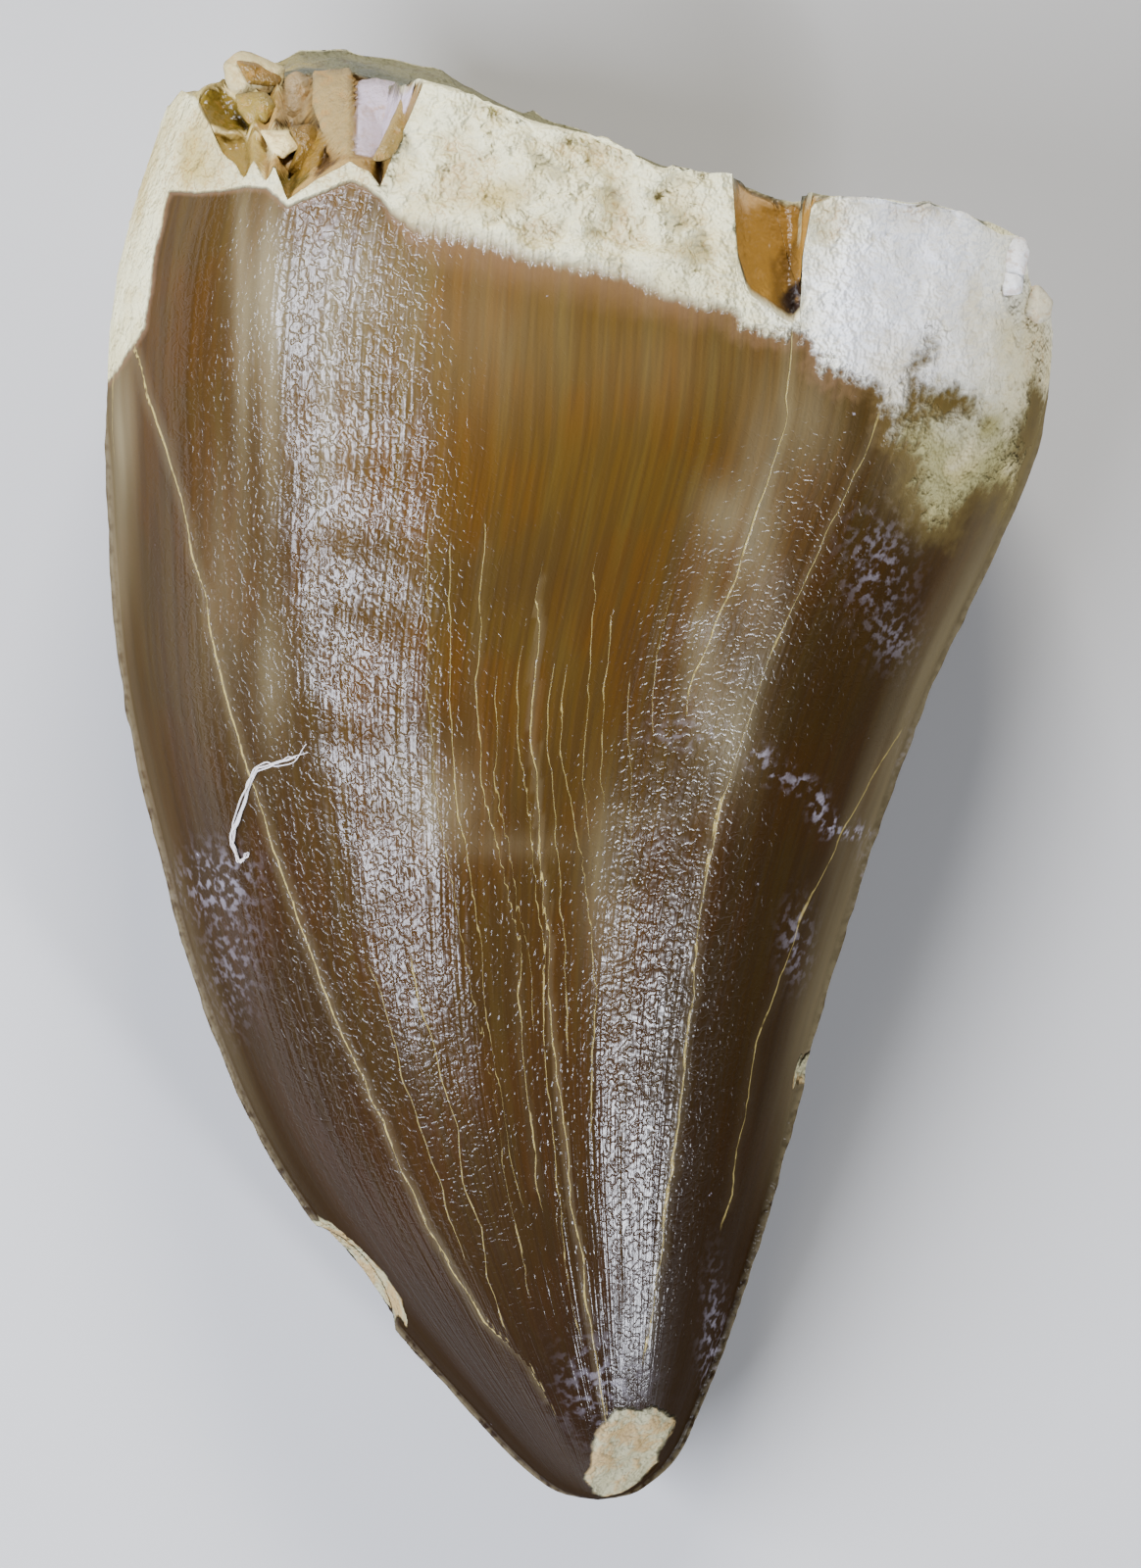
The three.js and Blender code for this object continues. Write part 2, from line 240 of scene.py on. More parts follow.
def facetedDome(share, y):
    # the dome, mixed with the chords between the long faces' edges, and averaged over a narrow window
    table = toothShape["faceEdges"]
    edges = np.array([between(table, column, y) for column in range(1, len(table[0]))])
    total = 0
    blur = toothShape["facetBlur"]
    for offset, weight in ((-blur, 0.25), (0, 0.5), (blur, 0.25)):
        at = np.clip(share + offset * np.minimum(1, 12 * share * (1 - share)), 0, 1)
        smooth = dome(at)
        flat = smooth.copy()
        for a, b in list(zip(edges, edges[1:]))[1:-1]:
            held = (at > a) & (at <= b)
            chord = dome(a) + (dome(b) - dome(a)) * (at - a) / (b - a)
            flat = np.where(held, chord, flat)
        mixed = smooth + (flat - smooth) * toothShape["facetShare"]
        total = total + weight * mixed
    return total


def wallXz(front, share, y):
    # a wall's point at a share of the way from the left keel to the right one, at level y:
    # each keel is a thin ridge, and the dome rises between the two
    s = toothShape
    ridge = s["ridgeReach"] * smoothStep(-2, 3, s["ridgeTopY"] - y) + 0.02
    onLeft = np.minimum(share / s["ridgeShare"], 1)
    onRight = np.minimum((1 - share) / s["ridgeShare"], 1)
    inside = np.clip((share - s["ridgeShare"]) / (1 - 2 * s["ridgeShare"]), 0, 1)
    left, right = keels(y)
    x = left + ridge * onLeft + (right - left - 2 * ridge) * inside + ridge * (1 - onRight)
    thickness = s["ridgeThickness"] * np.minimum(onLeft, onRight)
    keel = through(s["profile"], 1, y)
    domed = 1 - s["ridgeThickness"]
    rise = (through(s["profile"], 2, y) - keel) * (facetedDome(inside, y) * domed + thickness)
    drop = (keel - through(s["profile"], 3, y)) * (dome(inside) * domed + thickness)
    return x, np.where(front, keel + rise, keel - drop)


def brokenEnd(x, z):
    # height of the broken end: a plain break from the front rim to the back one, dipping between them,
    # cut down by the faces that climb from the bite and the notch. Also gives how far the cut goes.
    s = toothShape
    y0 = np.full(len(x), s["rootLevelY"], float)
    left, right = keels(y0)
    share = np.clip((x - left) / (right - left), 0, 1)
    front = wallXz(np.ones(len(x), bool), share, y0)[1]
    back = wallXz(np.zeros(len(x), bool), share, y0)[1]
    depth = np.clip((front - z) / np.maximum(front - back, 0.5), 0, 1)
    points = np.stack([x, z, np.zeros(len(x))], 1)
    height, size = s["breakNoise"]
    rough = height * layeredBumps(points, size, 11, 5, 0.55) * np.sin(math.pi * depth) ** 0.5
    plain = between(s["wholeRim"], 1, x) * (1 - depth) + between(s["backRim"], 1, x) * depth
    plain = plain - s["hollowDepth"] * np.sin(math.pi * depth) * dome(share) + rough
    broken = between(s["frontRim"], 1, x) + between(s["climb"], 1, x) * np.maximum(front - z, 0)
    return np.minimum(plain, broken), plain - broken, depth


def evenSteps(positions, density, count):
    # count steps between the first and last position, each with the same amount of density
    pieces = (density[1:] + density[:-1]) / 2 * np.diff(positions)
    total = np.concatenate([[0], np.cumsum(pieces)])
    return np.interp(np.linspace(0, total[-1], count + 1), total, positions)


def columnShares(front, count):
    # shares spaced by the wall's own length, and closer where the rim is steep, the bite lies or a ridge is
    s = toothShape
    share = np.linspace(0, 1, s["shareSteps"])
    x, z = wallXz(np.full(len(share), front), share, np.full(len(share), s["columnLevelY"]))
    length = np.hypot(np.gradient(x, share), np.gradient(z, share))
    if front:
        atRim = keels(s["rimLevelY"])[0] + share * s["rimWidth"]
        steep = np.minimum(np.abs(np.gradient(between(s["frontRim"], 1, atRim), share)), s["steepest"])
        length = length + s["steepWeight"] * steep + s["biteWeight"] * hump(s["biteSpan"], atRim)
    onRidge = np.minimum(share, 1 - share) < s["ridgeShare"]
    return evenSteps(share, length + onRidge * s["ridgeWeight"], count)


def toothGrid():
    # rings of points from the tip to the rim, then inwards over the broken end by straight lines to the
    # root's centre; the rim's level is found by stepping between the wall and the rim's table
    s = toothShape
    frontShare = columnShares(True, s["frontColumns"])
    backShare = columnShares(False, s["backColumns"])[::-1]
    share = np.concatenate([frontShare[:-1], backShare[:-1]])
    front = np.arange(len(share)) < s["frontColumns"]
    rimY = np.full(len(share), s["rootLevelY"], float)
    for _ in range(12):
        x = wallXz(front, share, rimY)[0]
        rimY = np.where(front, between(s["frontRim"], 1, x), between(s["backRim"], 1, x))
    height, size = s["rimNoise"]
    ragged = layeredBumps(np.stack([x, rimY * 0, front * 9.0], 1), size, 5, 4, 0.6)
    keelFade = np.minimum(1, 12 * share * (1 - share))
    rimY = rimY + ragged * height * keelFade * (0.5 + hump(s["raggedSpan"], x))
    tipY, topY = s["tip"][1], s["evenRowsTopY"]
    lower = tipY + (topY - tipY) * (np.arange(1, s["lowerRows"] + 1) / s["lowerRows"]) ** s["lowerSpacing"]
    lower = np.repeat(lower[:, None], len(share), 1)
    upper = topY + (rimY - topY) * (np.arange(1, s["upperRows"] + 1) / s["upperRows"])[:, None]
    wallY = np.concatenate([lower, upper])
    allShare = np.broadcast_to(share, wallY.shape)
    allFront = np.broadcast_to(front, wallY.shape)
    wallX, wallZ = wallXz(allFront.ravel(), allShare.ravel(), wallY.ravel())
    walls = np.stack([wallX, wallY.ravel(), wallZ], 1).reshape(*wallY.shape, 3)
    rim = walls[-1]
    reach = 1 - (np.arange(1, s["capRows"]) / s["capRows"])[:, None] ** s["capSpacing"]
    cx, cz = s["rootCentre"]
    capX = cx + (rim[:, 0] - cx) * reach
    capZ = cz + (rim[:, 2] - cz) * reach
    capY, cut, depth = brokenEnd(capX.ravel(), capZ.ravel())
    cap = np.stack([capX.ravel(), capY, capZ.ravel()], 1).reshape(*capX.shape, 3)
    # the first rings of the end start at the ragged rim
    blend = np.exp(-np.arange(1, s["capRows"]) / 3.0)[:, None]
    cap[:, :, 1] += blend * (rim[:, 1] - brokenEnd(rim[:, 0], rim[:, 2])[0])
    return walls, cap, share, front, cut.reshape(capX.shape), depth.reshape(capX.shape)


# What stands (rise above 0) and lies hollow in the bite: outline corners (x, y), rise towards the front,
# slopes along x and y, colour (0 to 255) and gloss from 0 to 1. Later ones lie over earlier ones.
biteForms = {
    "cream wall": ([(-15.6, 25.6), (-12.6, 25.6), (-11.7, 23.4), (-11.4, 21.3), (-15.6, 21.3)],
        0, 0, 0, (208, 198, 160), 0.3),
    "olive hollow": ([(-14.3, 25), (-13.1, 25.2), (-12.2, 24.3), (-11.7, 23.5), (-12.9, 23.5),
        (-13.8, 23.9)], -0.6, -0.3, 0.15, (116, 98, 42), 0.9),
    "lower hollow": ([(-13.5, 23.5), (-11.8, 23.4), (-11.4, 22.7), (-11.6, 21.9), (-12, 21.6),
        (-12.7, 21.8), (-13.2, 22.5)], -0.45, 0.25, -0.1, (158, 140, 86), 0.8),
    # the wedge and the gap are painted shade: dark colour in sunk hollows between the chips
    "shaded wedge": ([(-9.7, 23.4), (-9.3, 23.2), (-8.5, 22.4), (-8.8, 22.2), (-9.6, 21.6)],
        -0.8, 0, 0, (88, 64, 32), 0.4),
    "shaded gap": ([(-11.2, 24), (-9.7, 24), (-9.6, 23.4), (-11.1, 23.4)], -0.5, 0, 0, (84, 66, 34), 0.5),
    "dark crystals": ([(-11.3, 22), (-9.7, 21.8), (-10.4, 21.2), (-10.6, 20.8), (-11, 21.4)],
        -0.2, 0, 0, (112, 96, 52), 0.9),
    "small notch": ([(-7.9, 22.2), (-7.2, 22.35), (-6.8, 22.7), (-7, 21.8), (-7.2, 21.3), (-7.5, 21.6)],
        -0.5, 0, 0, (136, 112, 66), 0.6),
    "yellow band": ([(-6.3, 25), (-5.55, 25.2), (-5.75, 24.2), (-6.3, 23.1), (-6.75, 22.3), (-7.5, 22.1),
        (-7.1, 23)], 0.3, -0.3, -0.5, (156, 136, 84), 0.6),
    "bed": ([(-9.9, 25.9), (-5.45, 25.6), (-5.9, 24.2), (-6.5, 23), (-7, 22.3), (-9, 22.3), (-9.9, 24.2)],
        -0.5, 0, 0, (140, 116, 72), 0.5),
    "tan wall": ([(-9.75, 25.8), (-8.3, 25.8), (-8.18, 22.4), (-8.84, 22.55), (-9.34, 23.27),
        (-9.75, 24.25)], 0.25, 0.3, -0.3, (158, 140, 98), 0.5),
    "violet plate": ([(-8.1, 25.3), (-7.4, 25.45), (-6.65, 25.3), (-6, 24.8), (-6.33, 23.93),
        (-7.03, 22.73), (-7.53, 22.38), (-8.15, 22.5)], 0.25, 0.25, -0.2, (184, 174, 180), 0.7),
    "upper chunk": ([(-13.1, 26.1), (-12.45, 26.6), (-11.6, 26.3), (-10.75, 25.9), (-10.9, 25.1),
        (-11.45, 25), (-12.65, 24.9), (-13.05, 25.35)], 0.6, 0.1, 0.1, (192, 182, 144), 0.4),
    "upper chunk's face": ([(-12.65, 26.2), (-11.8, 26.2), (-10.85, 25.7), (-11.1, 25.2), (-12.2, 25.3)],
        0.85, -0.2, -0.3, (132, 106, 52), 1),
    "olive lobe": ([(-12.6, 24.9), (-11.5, 25), (-11.1, 24.5), (-11.45, 23.8), (-12.1, 23.75),
        (-12.45, 24.25)], 0.35, 0.1, 0.1, (150, 132, 72), 0.9),
    "peg": ([(-11, 24.25), (-10.8, 25.5), (-10.45, 25.8), (-10, 25.7), (-9.82, 25.1), (-10.1, 23.86),
        (-11, 23.86)], 0.8, -0.2, 0.15, (164, 146, 112), 0.5),
    "olive block": ([(-10.6, 23.6), (-9.75, 23.7), (-9.25, 23), (-9.43, 22.16), (-10.1, 21.7),
        (-10.65, 21.9), (-10.3, 22.8)], 0.4, -0.4, 0.1, (132, 106, 50), 0.9),
    "white slab": ([(-11.67, 23.5), (-10.5, 23.5), (-10.2, 22.86), (-10.78, 22.38), (-11.24, 22.6)],
        0.65, 0.1, -0.2, (216, 206, 168), 0.5),
    "tan box": ([(-11, 22.6), (-10.4, 22.7), (-10.1, 22.2), (-10.55, 21.85), (-10.9, 22.05)],
        0.5, -0.1, -0.2, (162, 136, 86), 0.7),
}

# Lumps where the root crumbles at its right edge: outline, level of the top, slopes, colour and gloss
rimLumps = {
    "upper lump": ([(15.2, 19.3), (15.5, 19.75), (16.3, 19.7), (16.5, 19.2), (16.3, 18.3), (15.6, 18.4)],
        15.9, -0.1, 0, (224, 224, 230), 0.6),
    "middle lump": ([(15.3, 18.6), (15.8, 18.8), (16.3, 18.4), (16.2, 17.6), (15.5, 17.5)],
        16, -0.2, 0, (218, 218, 220), 0.5),
    "lower lump": ([(16.3, 17.9), (16.9, 18), (17.4, 17.4), (17.35, 16.7), (16.8, 16.5), (16.3, 16.9)],
        14.5, -0.2, 0, (200, 196, 180), 0.4),
}

# The notch's own colours: outline, rise, slopes, colour, gloss
notchForms = {
    "orange back": ([(5.3, 22.2), (5.6, 18.7), (6, 17.2), (8.2, 16), (8.6, 22.2)],
        0, 0, 0, (146, 114, 58), 0.7),
    "brown depth": ([(6.9, 18.6), (7.9, 19.4), (8.1, 16.2), (7, 16.6)], -0.15, 0, 0, (116, 88, 44), 0.7),
    # painted shade in the notch's deepest corner
    "shaded corner": ([(7.3, 17.4), (8, 17.9), (8.1, 16.2), (7.4, 16.4)], -0.4, 0, 0, (44, 28, 12), 0.4),
    "pale top": ([(5.5, 22.2), (5.8, 20.6), (8, 20.7), (8.4, 22.2)], 0, 0, 0, (178, 152, 108), 0.5),
}

# The edge between brown enamel and cream root, left to right, on the front and on the back
rootLine = [
    (-17.9, 14.5), (-17.3, 14.7), (-16.6, 15.6), (-16, 16.4), (-15.6, 18.9), (-15.2, 20.9),
    (-15.05, 21.4), (-13.9, 21.25), (-12.8, 21.3), (-12.2, 21.4), (-11.4, 21.3), (-11, 21), (-10.6, 20.6),
    (-9.5, 21), (-8.3, 21.45), (-7.9, 21.3), (-7.2, 20.9), (-6.8, 20.4), (-5.9, 19.9), (-3.6, 19.4),
    (-1.1, 18.6), (0.6, 18.2), (2.5, 17.8), (3.9, 17.3), (5.5, 16.8), (6, 16.4), (7.2, 16.1), (8.1, 15.7),
    (9.2, 14.5), (10.9, 14.4), (11.7, 13.3), (11.8, 11.9), (12.3, 10.6), (13, 9.5), (14, 10),
    (15.5, 11.2), (16.1, 12.7), (16.7, 14), (17.4, 14.4), (18.5, 14.5)]
backRootLine = [
    (-17.9, 14.5), (-16.8, 16), (-14.5, 19.2), (-11, 20.6), (-6, 19.6), (-1, 18.6), (4, 17.6), (8, 16.3),
    (11.5, 14.4), (13.5, 12.6), (15.5, 12.2), (17, 14), (18.5, 14.5)]
# x, how soft the edge is, how ragged it is
rootEdgeKind = [
    (-17.5, 0.1, 0.15), (-15, 0.06, 0.05), (-7, 0.1, 0.08), (-5.5, 0.55, 0.15), (4, 0.5, 0.25),
    (6.5, 0.25, 0.5), (10, 0.35, 0.9), (12, 0.5, 0.9), (17.5, 0.6, 0.9)]
# x, y, half width, half height of brown patches in the cream
brownIslands = [
    (12.2, 13.9, 0.45, 0.9), (13.6, 13.5, 0.55, 0.4), (10.2, 13.6, 1.2, 0.35), (14.6, 9, 1.2, 0.5)]

# Soft patches of the surface: x, y, half width, half height, strength
# pale streaks of the enamel, and at the upper left (x -8.8, y 18) a broad painted sheen where the left
# highlight lies
paleAndSheenPatches = [
    (-12.3, 17, 0.3, 5, 0.45), (-11.2, 15.5, 0.45, 5.5, 0.5), (-13, 6.8, 1, 4.5, 0.25),
    (6.5, 9.2, 0.8, 4.5, 0.45), (5.2, 9.4, 0.9, 1.2, 0.45), (4.5, 4, 0.6, 3, 0.4),
    (8.3, 13, 1.2, 2.2, 0.45), (-2.5, -2.6, 2.2, 0.5, 0.15), (2.5, -1.6, 1.6, 0.5, 0.15),
    (-5.1, -1.1, 1.3, 1.6, 0.4), (5.6, 1.6, 0.8, 2.2, 0.5), (12.6, 11, 1.4, 2, 0.5),
    (-16.8, 13, 0.45, 3, 0.7), (0.9, -4.4, 0.7, 3.2, 0.35), (-9, 12.5, 0.9, 4, 0.3),
    (-11.2, 3.6, 0.7, 2.5, 0.3), (-11.6, 18, 0.9, 3, 0.4), (-8.8, 18, 2.4, 2.6, 0.4),
    (-3.5, 16, 3, 3, 0.22), (3, 15, 3, 2, 0.12), (-16.9, 8, 0.5, 2.5, 0.3)]
darkPatches = [
    (-1.9, 7.3, 3.4, 1.8, 0.55), (11.2, 6.9, 1.8, 2, 0.5), (-15, 10.5, 0.8, 2.6, 0.3),
    (0, -23.3, 3, 2.5, 0.7), (5, -16.7, 1.4, 5, 0.45), (2.5, 4.2, 1.2, 2.6, 0.35),
    (-14, -2.5, 1.6, 2, 0.3), (9.2, 1, 1.2, 3, 0.35), (7.02, 11.64, 0.1, 0.4, 2.5),
    (6.62, 10, 0.1, 0.5, 2.5), (6.25, 8.73, 0.1, 0.5, 2.5)]
grainPatches = [
    (-8.6, 9, 3.6, 14, 0.8), (-6.5, -8, 4.5, 8, 0.6), (3, -10, 4, 10, 0.8), (10.5, 5, 2.5, 6, 0.5),
    (-14.5, 6, 2, 12, 0.25)]
warmPatches = [
    (-13.8, 22.4, 2, 1.9, 0.9), (-8.3, 21.6, 1.8, 0.5, 0.9), (-5.4, 20.6, 0.8, 0.6, 0.6),
    (-3, 21, 1.3, 0.7, 0.7), (0.6, 20.6, 1.5, 1, 0.35), (3.8, 18.8, 1.4, 0.5, 0.5),
    (-0.5, 22.6, 2.2, 0.35, 0.4), (9.2, 20.2, 0.7, 0.6, 0.6), (-16.6, 21.5, 0.6, 3, 0.5),
    (12.6, 20.4, 1.2, 0.4, 0.4), (16.8, 15.5, 0.5, 1.5, 0.5), (5, 17.6, 0.8, 0.5, 0.5)]
dustPatches = [
    (10.9, 7.6, 1.1, 1.6, 0.5), (11.6, 5, 0.8, 0.9, 0.4), (-13.3, -4, 1.2, 1.1, 0.6),
    (-12.8, -6.9, 0.9, 2, 0.3), (5, -21.6, 0.4, 2.4, 0.6), (0.9, -22.6, 1.3, 1.6, 0.4),
    (8, -6.2, 0.5, 1.2, 0.5), (12.2, -0.6, 0.35, 1.6, 0.7), (10.6, -4.5, 0.3, 1.6, 0.5),
    (4.2, 1.5, 1.3, 0.45, 0.4), (-9, 19, 1.6, 1.6, 0.25), (6.6, 0.6, 0.35, 0.3, 1.2),
    (7.3, 0, 0.4, 0.22, 1.3), (8.1, -0.4, 0.4, 0.2, 1.3), (8.8, -1.2, 0.25, 0.45, 1.4),
    (9.3, -1.9, 0.35, 0.25, 1.5), (10.1, -2.1, 0.6, 0.16, 1.4)]
dullPatches = [
    (-9.6, 13.6, 1.9, 0.5, 0.4), (-8.6, 11.2, 2, 0.5, 0.5), (-9.1, 8.4, 2.2, 0.65, 0.6),
    (-8.3, 5.8, 2, 0.4, 0.35), (-8.1, 3.8, 2, 0.3, 0.25), (-7.8, 1.4, 2, 0.6, 0.65),
    (-7.2, -1.5, 2, 0.5, 0.5), (-6.4, -4.8, 2, 0.5, 0.45), (-6, -6.1, 2.2, 0.4, 0.45)]

# How much light the enamel keeps: y, share. It deepens towards the tip.
enamelTone = [(-27.2, 0.11), (-20, 0.17), (-12, 0.27), (-2, 0.42), (8, 0.58), (16, 0.76), (21, 0.88)]
# It deepens on the right and left flanks too, by painted shade where they turn from the light: shares between
# which it does, and what is left there
flankShades = [(0.68, 0.86, 0.62), (0.32, 0.14, 0.6)]

# Long cracks of the crown from left to right: points (x, y), the levels between which each shows,
# its strength, and its width in millimetres
cracks = [
    ([(-16.7, 15.2), (-16.9, 13.7), (-17.2, 11)], 15.2, 11.5, 0.4, 0.05),
    ([(-16.1, 16.1), (-15.2, 12.7), (-14.4, 9.3), (-13.7, 6.7), (-12.8, 2.7), (-11.8, -0.9),
      (-10.4, -5.1), (-9.1, -8.6), (-7.3, -12.8), (-5.3, -17.5), (-3.5, -20.3), (-1.9, -21.9),
      (-0.9, -23.9)], 16.2, -24, 1, 0.075),
    ([(-13, 7), (-10.9, 0), (-7.3, -7.9), (-6.9, -9.6), (-5.8, -13.3), (-5, -15.3), (-4.4, -17.9)],
      -6.8, -18.2, 0.6, 0.05),
    ([(-8, 6), (-7, -2), (-4.5, -13.2), (-4.3, -15.1), (-3.6, -16.7), (-3.5, -18.6), (-2.7, -20.8)],
      -6.5, -21, 0.7, 0.055),
    ([(-5.4, 9.1), (-5.2, -0.4), (-3.9, -8), (-3, -12), (-2.3, -17), (-1.9, -19)],
      9.5, -19.5, 0.5, 0.045),
    ([(-4.6, 8.4), (-4.5, -0.4), (-3.6, -6.4), (-3.4, -9.3), (-2.7, -13.3), (-2.2, -15.7)],
      8.6, -16, 0.65, 0.05),
    ([(-3.4, 9), (-3.6, 6.5), (-3.7, 4.4), (-3.5, -0.3), (-2.2, -5.8), (-2.2, -8.1), (-2, -11),
      (-1.6, -13.9), (-1.5, -15.8)], 9.2, -16.2, 0.8, 0.055),
    ([(-3, 3.7), (-3, -0.4), (-1.8, -7.6), (-1.2, -14)], 3.8, -9.5, 0.45, 0.04),
    ([(-2.2, 4.5), (-2.2, 1.5), (-1.3, -5.8), (-1.3, -8.7), (-1.2, -11.2), (-0.9, -13.9), (-0.7, -16.3),
      (-0.6, -18.6), (0, -21.1)], 4.6, -21.3, 0.65, 0.05),
    ([(-1.9, 7.6), (-1.5, 5.4), (-1.6, 3.9), (-1.7, 1.6), (-1.6, -0.4), (-0.8, -11), (-0.5, -13.3),
      (-0.3, -15.9), (0.2, -17.9), (0.4, -20.3), (0.8, -22.9), (1.2, -24.6)], 7.8, -24.7, 0.95, 0.065),
    ([(-0.9, 4), (-1.1, 2.7), (-1.1, 0.9), (-0.6, -5.8), (-0.4, -8.7), (-0.2, -13), (0.5, -18)],
      4.1, -10.5, 0.6, 0.045),
    ([(-0.5, 3.9), (-0.7, 2.3), (-0.7, 0.5), (0.5, -5.8), (0.7, -8.1), (0.5, -12.2), (0.4, -13.3),
      (0.9, -18)], 4, -13.5, 0.7, 0.055),
    ([(0.4, 7.8), (0.5, 6.2), (0.4, 4.4), (0.3, 2.9), (0.2, 1.3), (0, -0.3), (1.1, -7), (1.3, -14)],
      8, -2.5, 0.7, 0.045),
    ([(1.2, 5.9), (1.1, 4.5), (0.9, 3.1), (0.8, 1.2), (0.7, -0.3), (1.6, -8), (1.6, -15)],
      6, -1.5, 0.6, 0.045),
    ([(1.9, 3.4), (1.8, 0.9), (1.9, -5), (1.9, -16)], 3.6, -6, 0.4, 0.04),
    ([(3.2, 6.7), (3, 5.4), (2.6, 0), (2.3, -8), (2.1, -17)], 6.8, 1, 0.35, 0.04),
    ([(7.5, 16.2), (7.2, 12.3), (6.6, 10), (5.6, 6.8), (4, 3.1), (3.4, -2), (3, -9), (2.5, -18)],
      16.4, 2, 1, 0.08),
    ([(10.8, 13.1), (9.5, 10), (7.9, 6.5), (6.4, 3), (5.3, -0.7), (4.4, -5.4), (4.1, -8.9), (3.5, -14.9),
      (2.8, -19.6), (2.3, -23.6)], 13.3, -22, 0.95, 0.07),
    ([(13.4, 5.5), (11.9, 1.6), (10.1, -1.5), (8.5, -4.7), (7.6, -7.1), (6.5, -10.5), (5.9, -13.9),
      (5.8, -15.6), (4.6, -20)], 1.8, -17, 0.8, 0.06)]


def crackFan(share, y):
    # cracks as one rising number: crack k lies where it is k, and it runs evenly from crack to crack.
    # Also the local gap between cracks, and the nearest one's strength and width.
    lines = [np.full(len(y), -0.12)]
    for points, *_ in cracks:
        rows = np.array(points)[::-1]
        left, right = keels(rows[:, 1])
        lines.append(np.interp(y, rows[:, 1], (rows[:, 0] - left) / (right - left)))
    lines.append(np.full(len(y), 1.12))
    steps = 0.006 * np.arange(len(lines))[:, None]
    lines = np.maximum.accumulate(np.array(lines) - steps, axis=0) + steps
    number = np.clip((lines <= share).sum(0) - 1, 0, len(lines) - 2)
    index = np.arange(len(y))
    low, high = lines[number, index], lines[number + 1, index]
    fan = number + (share - low) / (high - low)
    left, right = keels(y)
    nearest = np.clip(np.round(fan).astype(int), 0, len(cracks) + 1)
    ends = [(0, 0, 0, 0.05)]
    top, bottom, strength, wide = np.array(ends + [crack[1:] for crack in cracks] + ends)[nearest].T
    shown = smoothStep(0, 0.6, top - y) * smoothStep(0, 0.8, y - bottom)
    return fan, (high - low) * (right - left), strength * shown, wide


def applyForms(t, forms, active):
    # within each outline the surface sinks by rise + slopes * way from the middle, and takes the form's
    # colour and gloss; both fade in by smooth steps of the distance to the outline
    raised = np.zeros(len(t.x))
    for corners, rise, slopeX, slopeY, colour, shine in forms.values():
        inside = insideBy(t.x, t.y, corners)
        middleX, middleY = np.mean(corners, axis=0)
        height = rise + slopeX * (t.x - middleX) + slopeY * (t.y - middleY)
        if rise < 0:
            height = height * smoothStep(-0.1, 0.6, inside)
        weight = smoothStep(-0.05, 0.07, inside) * active
        raised = raised * (1 - weight) + np.minimum(height, 0) * weight
        cover = smoothStep(-0.04, 0.04, inside) * active
        t.tint = t.tint * (1 - cover[:, None]) + paint(colour) * cover[:, None]
        t.gloss = t.gloss * (1 - cover) + shine * cover
    t.place[:, 2] += raised


def paint(channels):
    # the paint that shows as a colour (0 to 255) in this light: its linear value d becomes
    # 0.65 d / (1 - 0.7 d), a little further from grey
    v = np.array(channels) / 255
    d = np.where(v <= 0.04045, v / 12.92, ((v + 0.055) / 1.055) ** 2.4)
    a = 0.65 * d / (1 - 0.7 * d)
    return np.clip(a.mean() + (a - a.mean()) * 1.08, 0.003, 0.9)


def rgb(*channels):
    # the same paint as a socket's colour
    return tuple(paint(channels)) + (1.0,)


def toothPoints():
    # the grid as one list: the tip, the rings of the walls and of the broken end, and the end's middle.
    # Each point keeps its share, its wall, whether it is on the end, and how far the end is cut there.
    walls, cap, share, front, cut, depth = toothGrid()
    rings = np.concatenate([walls, cap])
    t = SimpleNamespace(rowCount=rings.shape[0], columnCount=rings.shape[1])
    onWalls = 1 + walls.shape[0] * t.columnCount
    t.place = np.concatenate([[toothShape["tip"]], rings.reshape(-1, 3), [rings[-1].mean(0)]])
    t.share = np.concatenate([[0.5], np.tile(share, t.rowCount), [0.5]])
    t.isFront = np.concatenate([[True], np.tile(front, t.rowCount), [True]])
    t.onEnd = np.arange(len(t.place)) >= onWalls
    t.cut = np.concatenate([np.full(onWalls, -9), cut.ravel(), [-9]])
    t.depth = np.concatenate([np.zeros(onWalls), depth.ravel(), [0.5]])
    t.x, t.y = t.place[:, 0].copy(), t.place[:, 1].copy()
    t.faceOn = t.isFront & ~t.onEnd
    return t


def carveEnd(t):
    # the forms of the bite and the notch, where the faces that climb from them cut the broken end
    s = toothShape
    t.tint = np.tile(paint(s["biteColour"]), (len(t.place), 1))
    t.gloss = np.full(len(t.place), 0.5)
    (biteLeft, biteRight), (notchLeft, notchRight) = s["biteX"], s["notchX"]
    inBite = smoothStep(0.0, 0.25, t.cut) * t.onEnd * (t.x < biteRight) * (t.x > biteLeft)
    applyForms(t, biteForms, inBite)
    inNotch = smoothStep(0.0, 0.2, t.cut) * t.onEnd * (t.x > notchLeft) * (t.x < notchRight)
    applyForms(t, notchForms, inNotch)
    t.painted = np.maximum(inBite, inNotch)
    height, size, rightEdge = s["biteNoise"]
    t.place[:, 2] += t.painted * (t.x < rightEdge) * height * layeredBumps(t.place, size, 31, 3, 0.6)


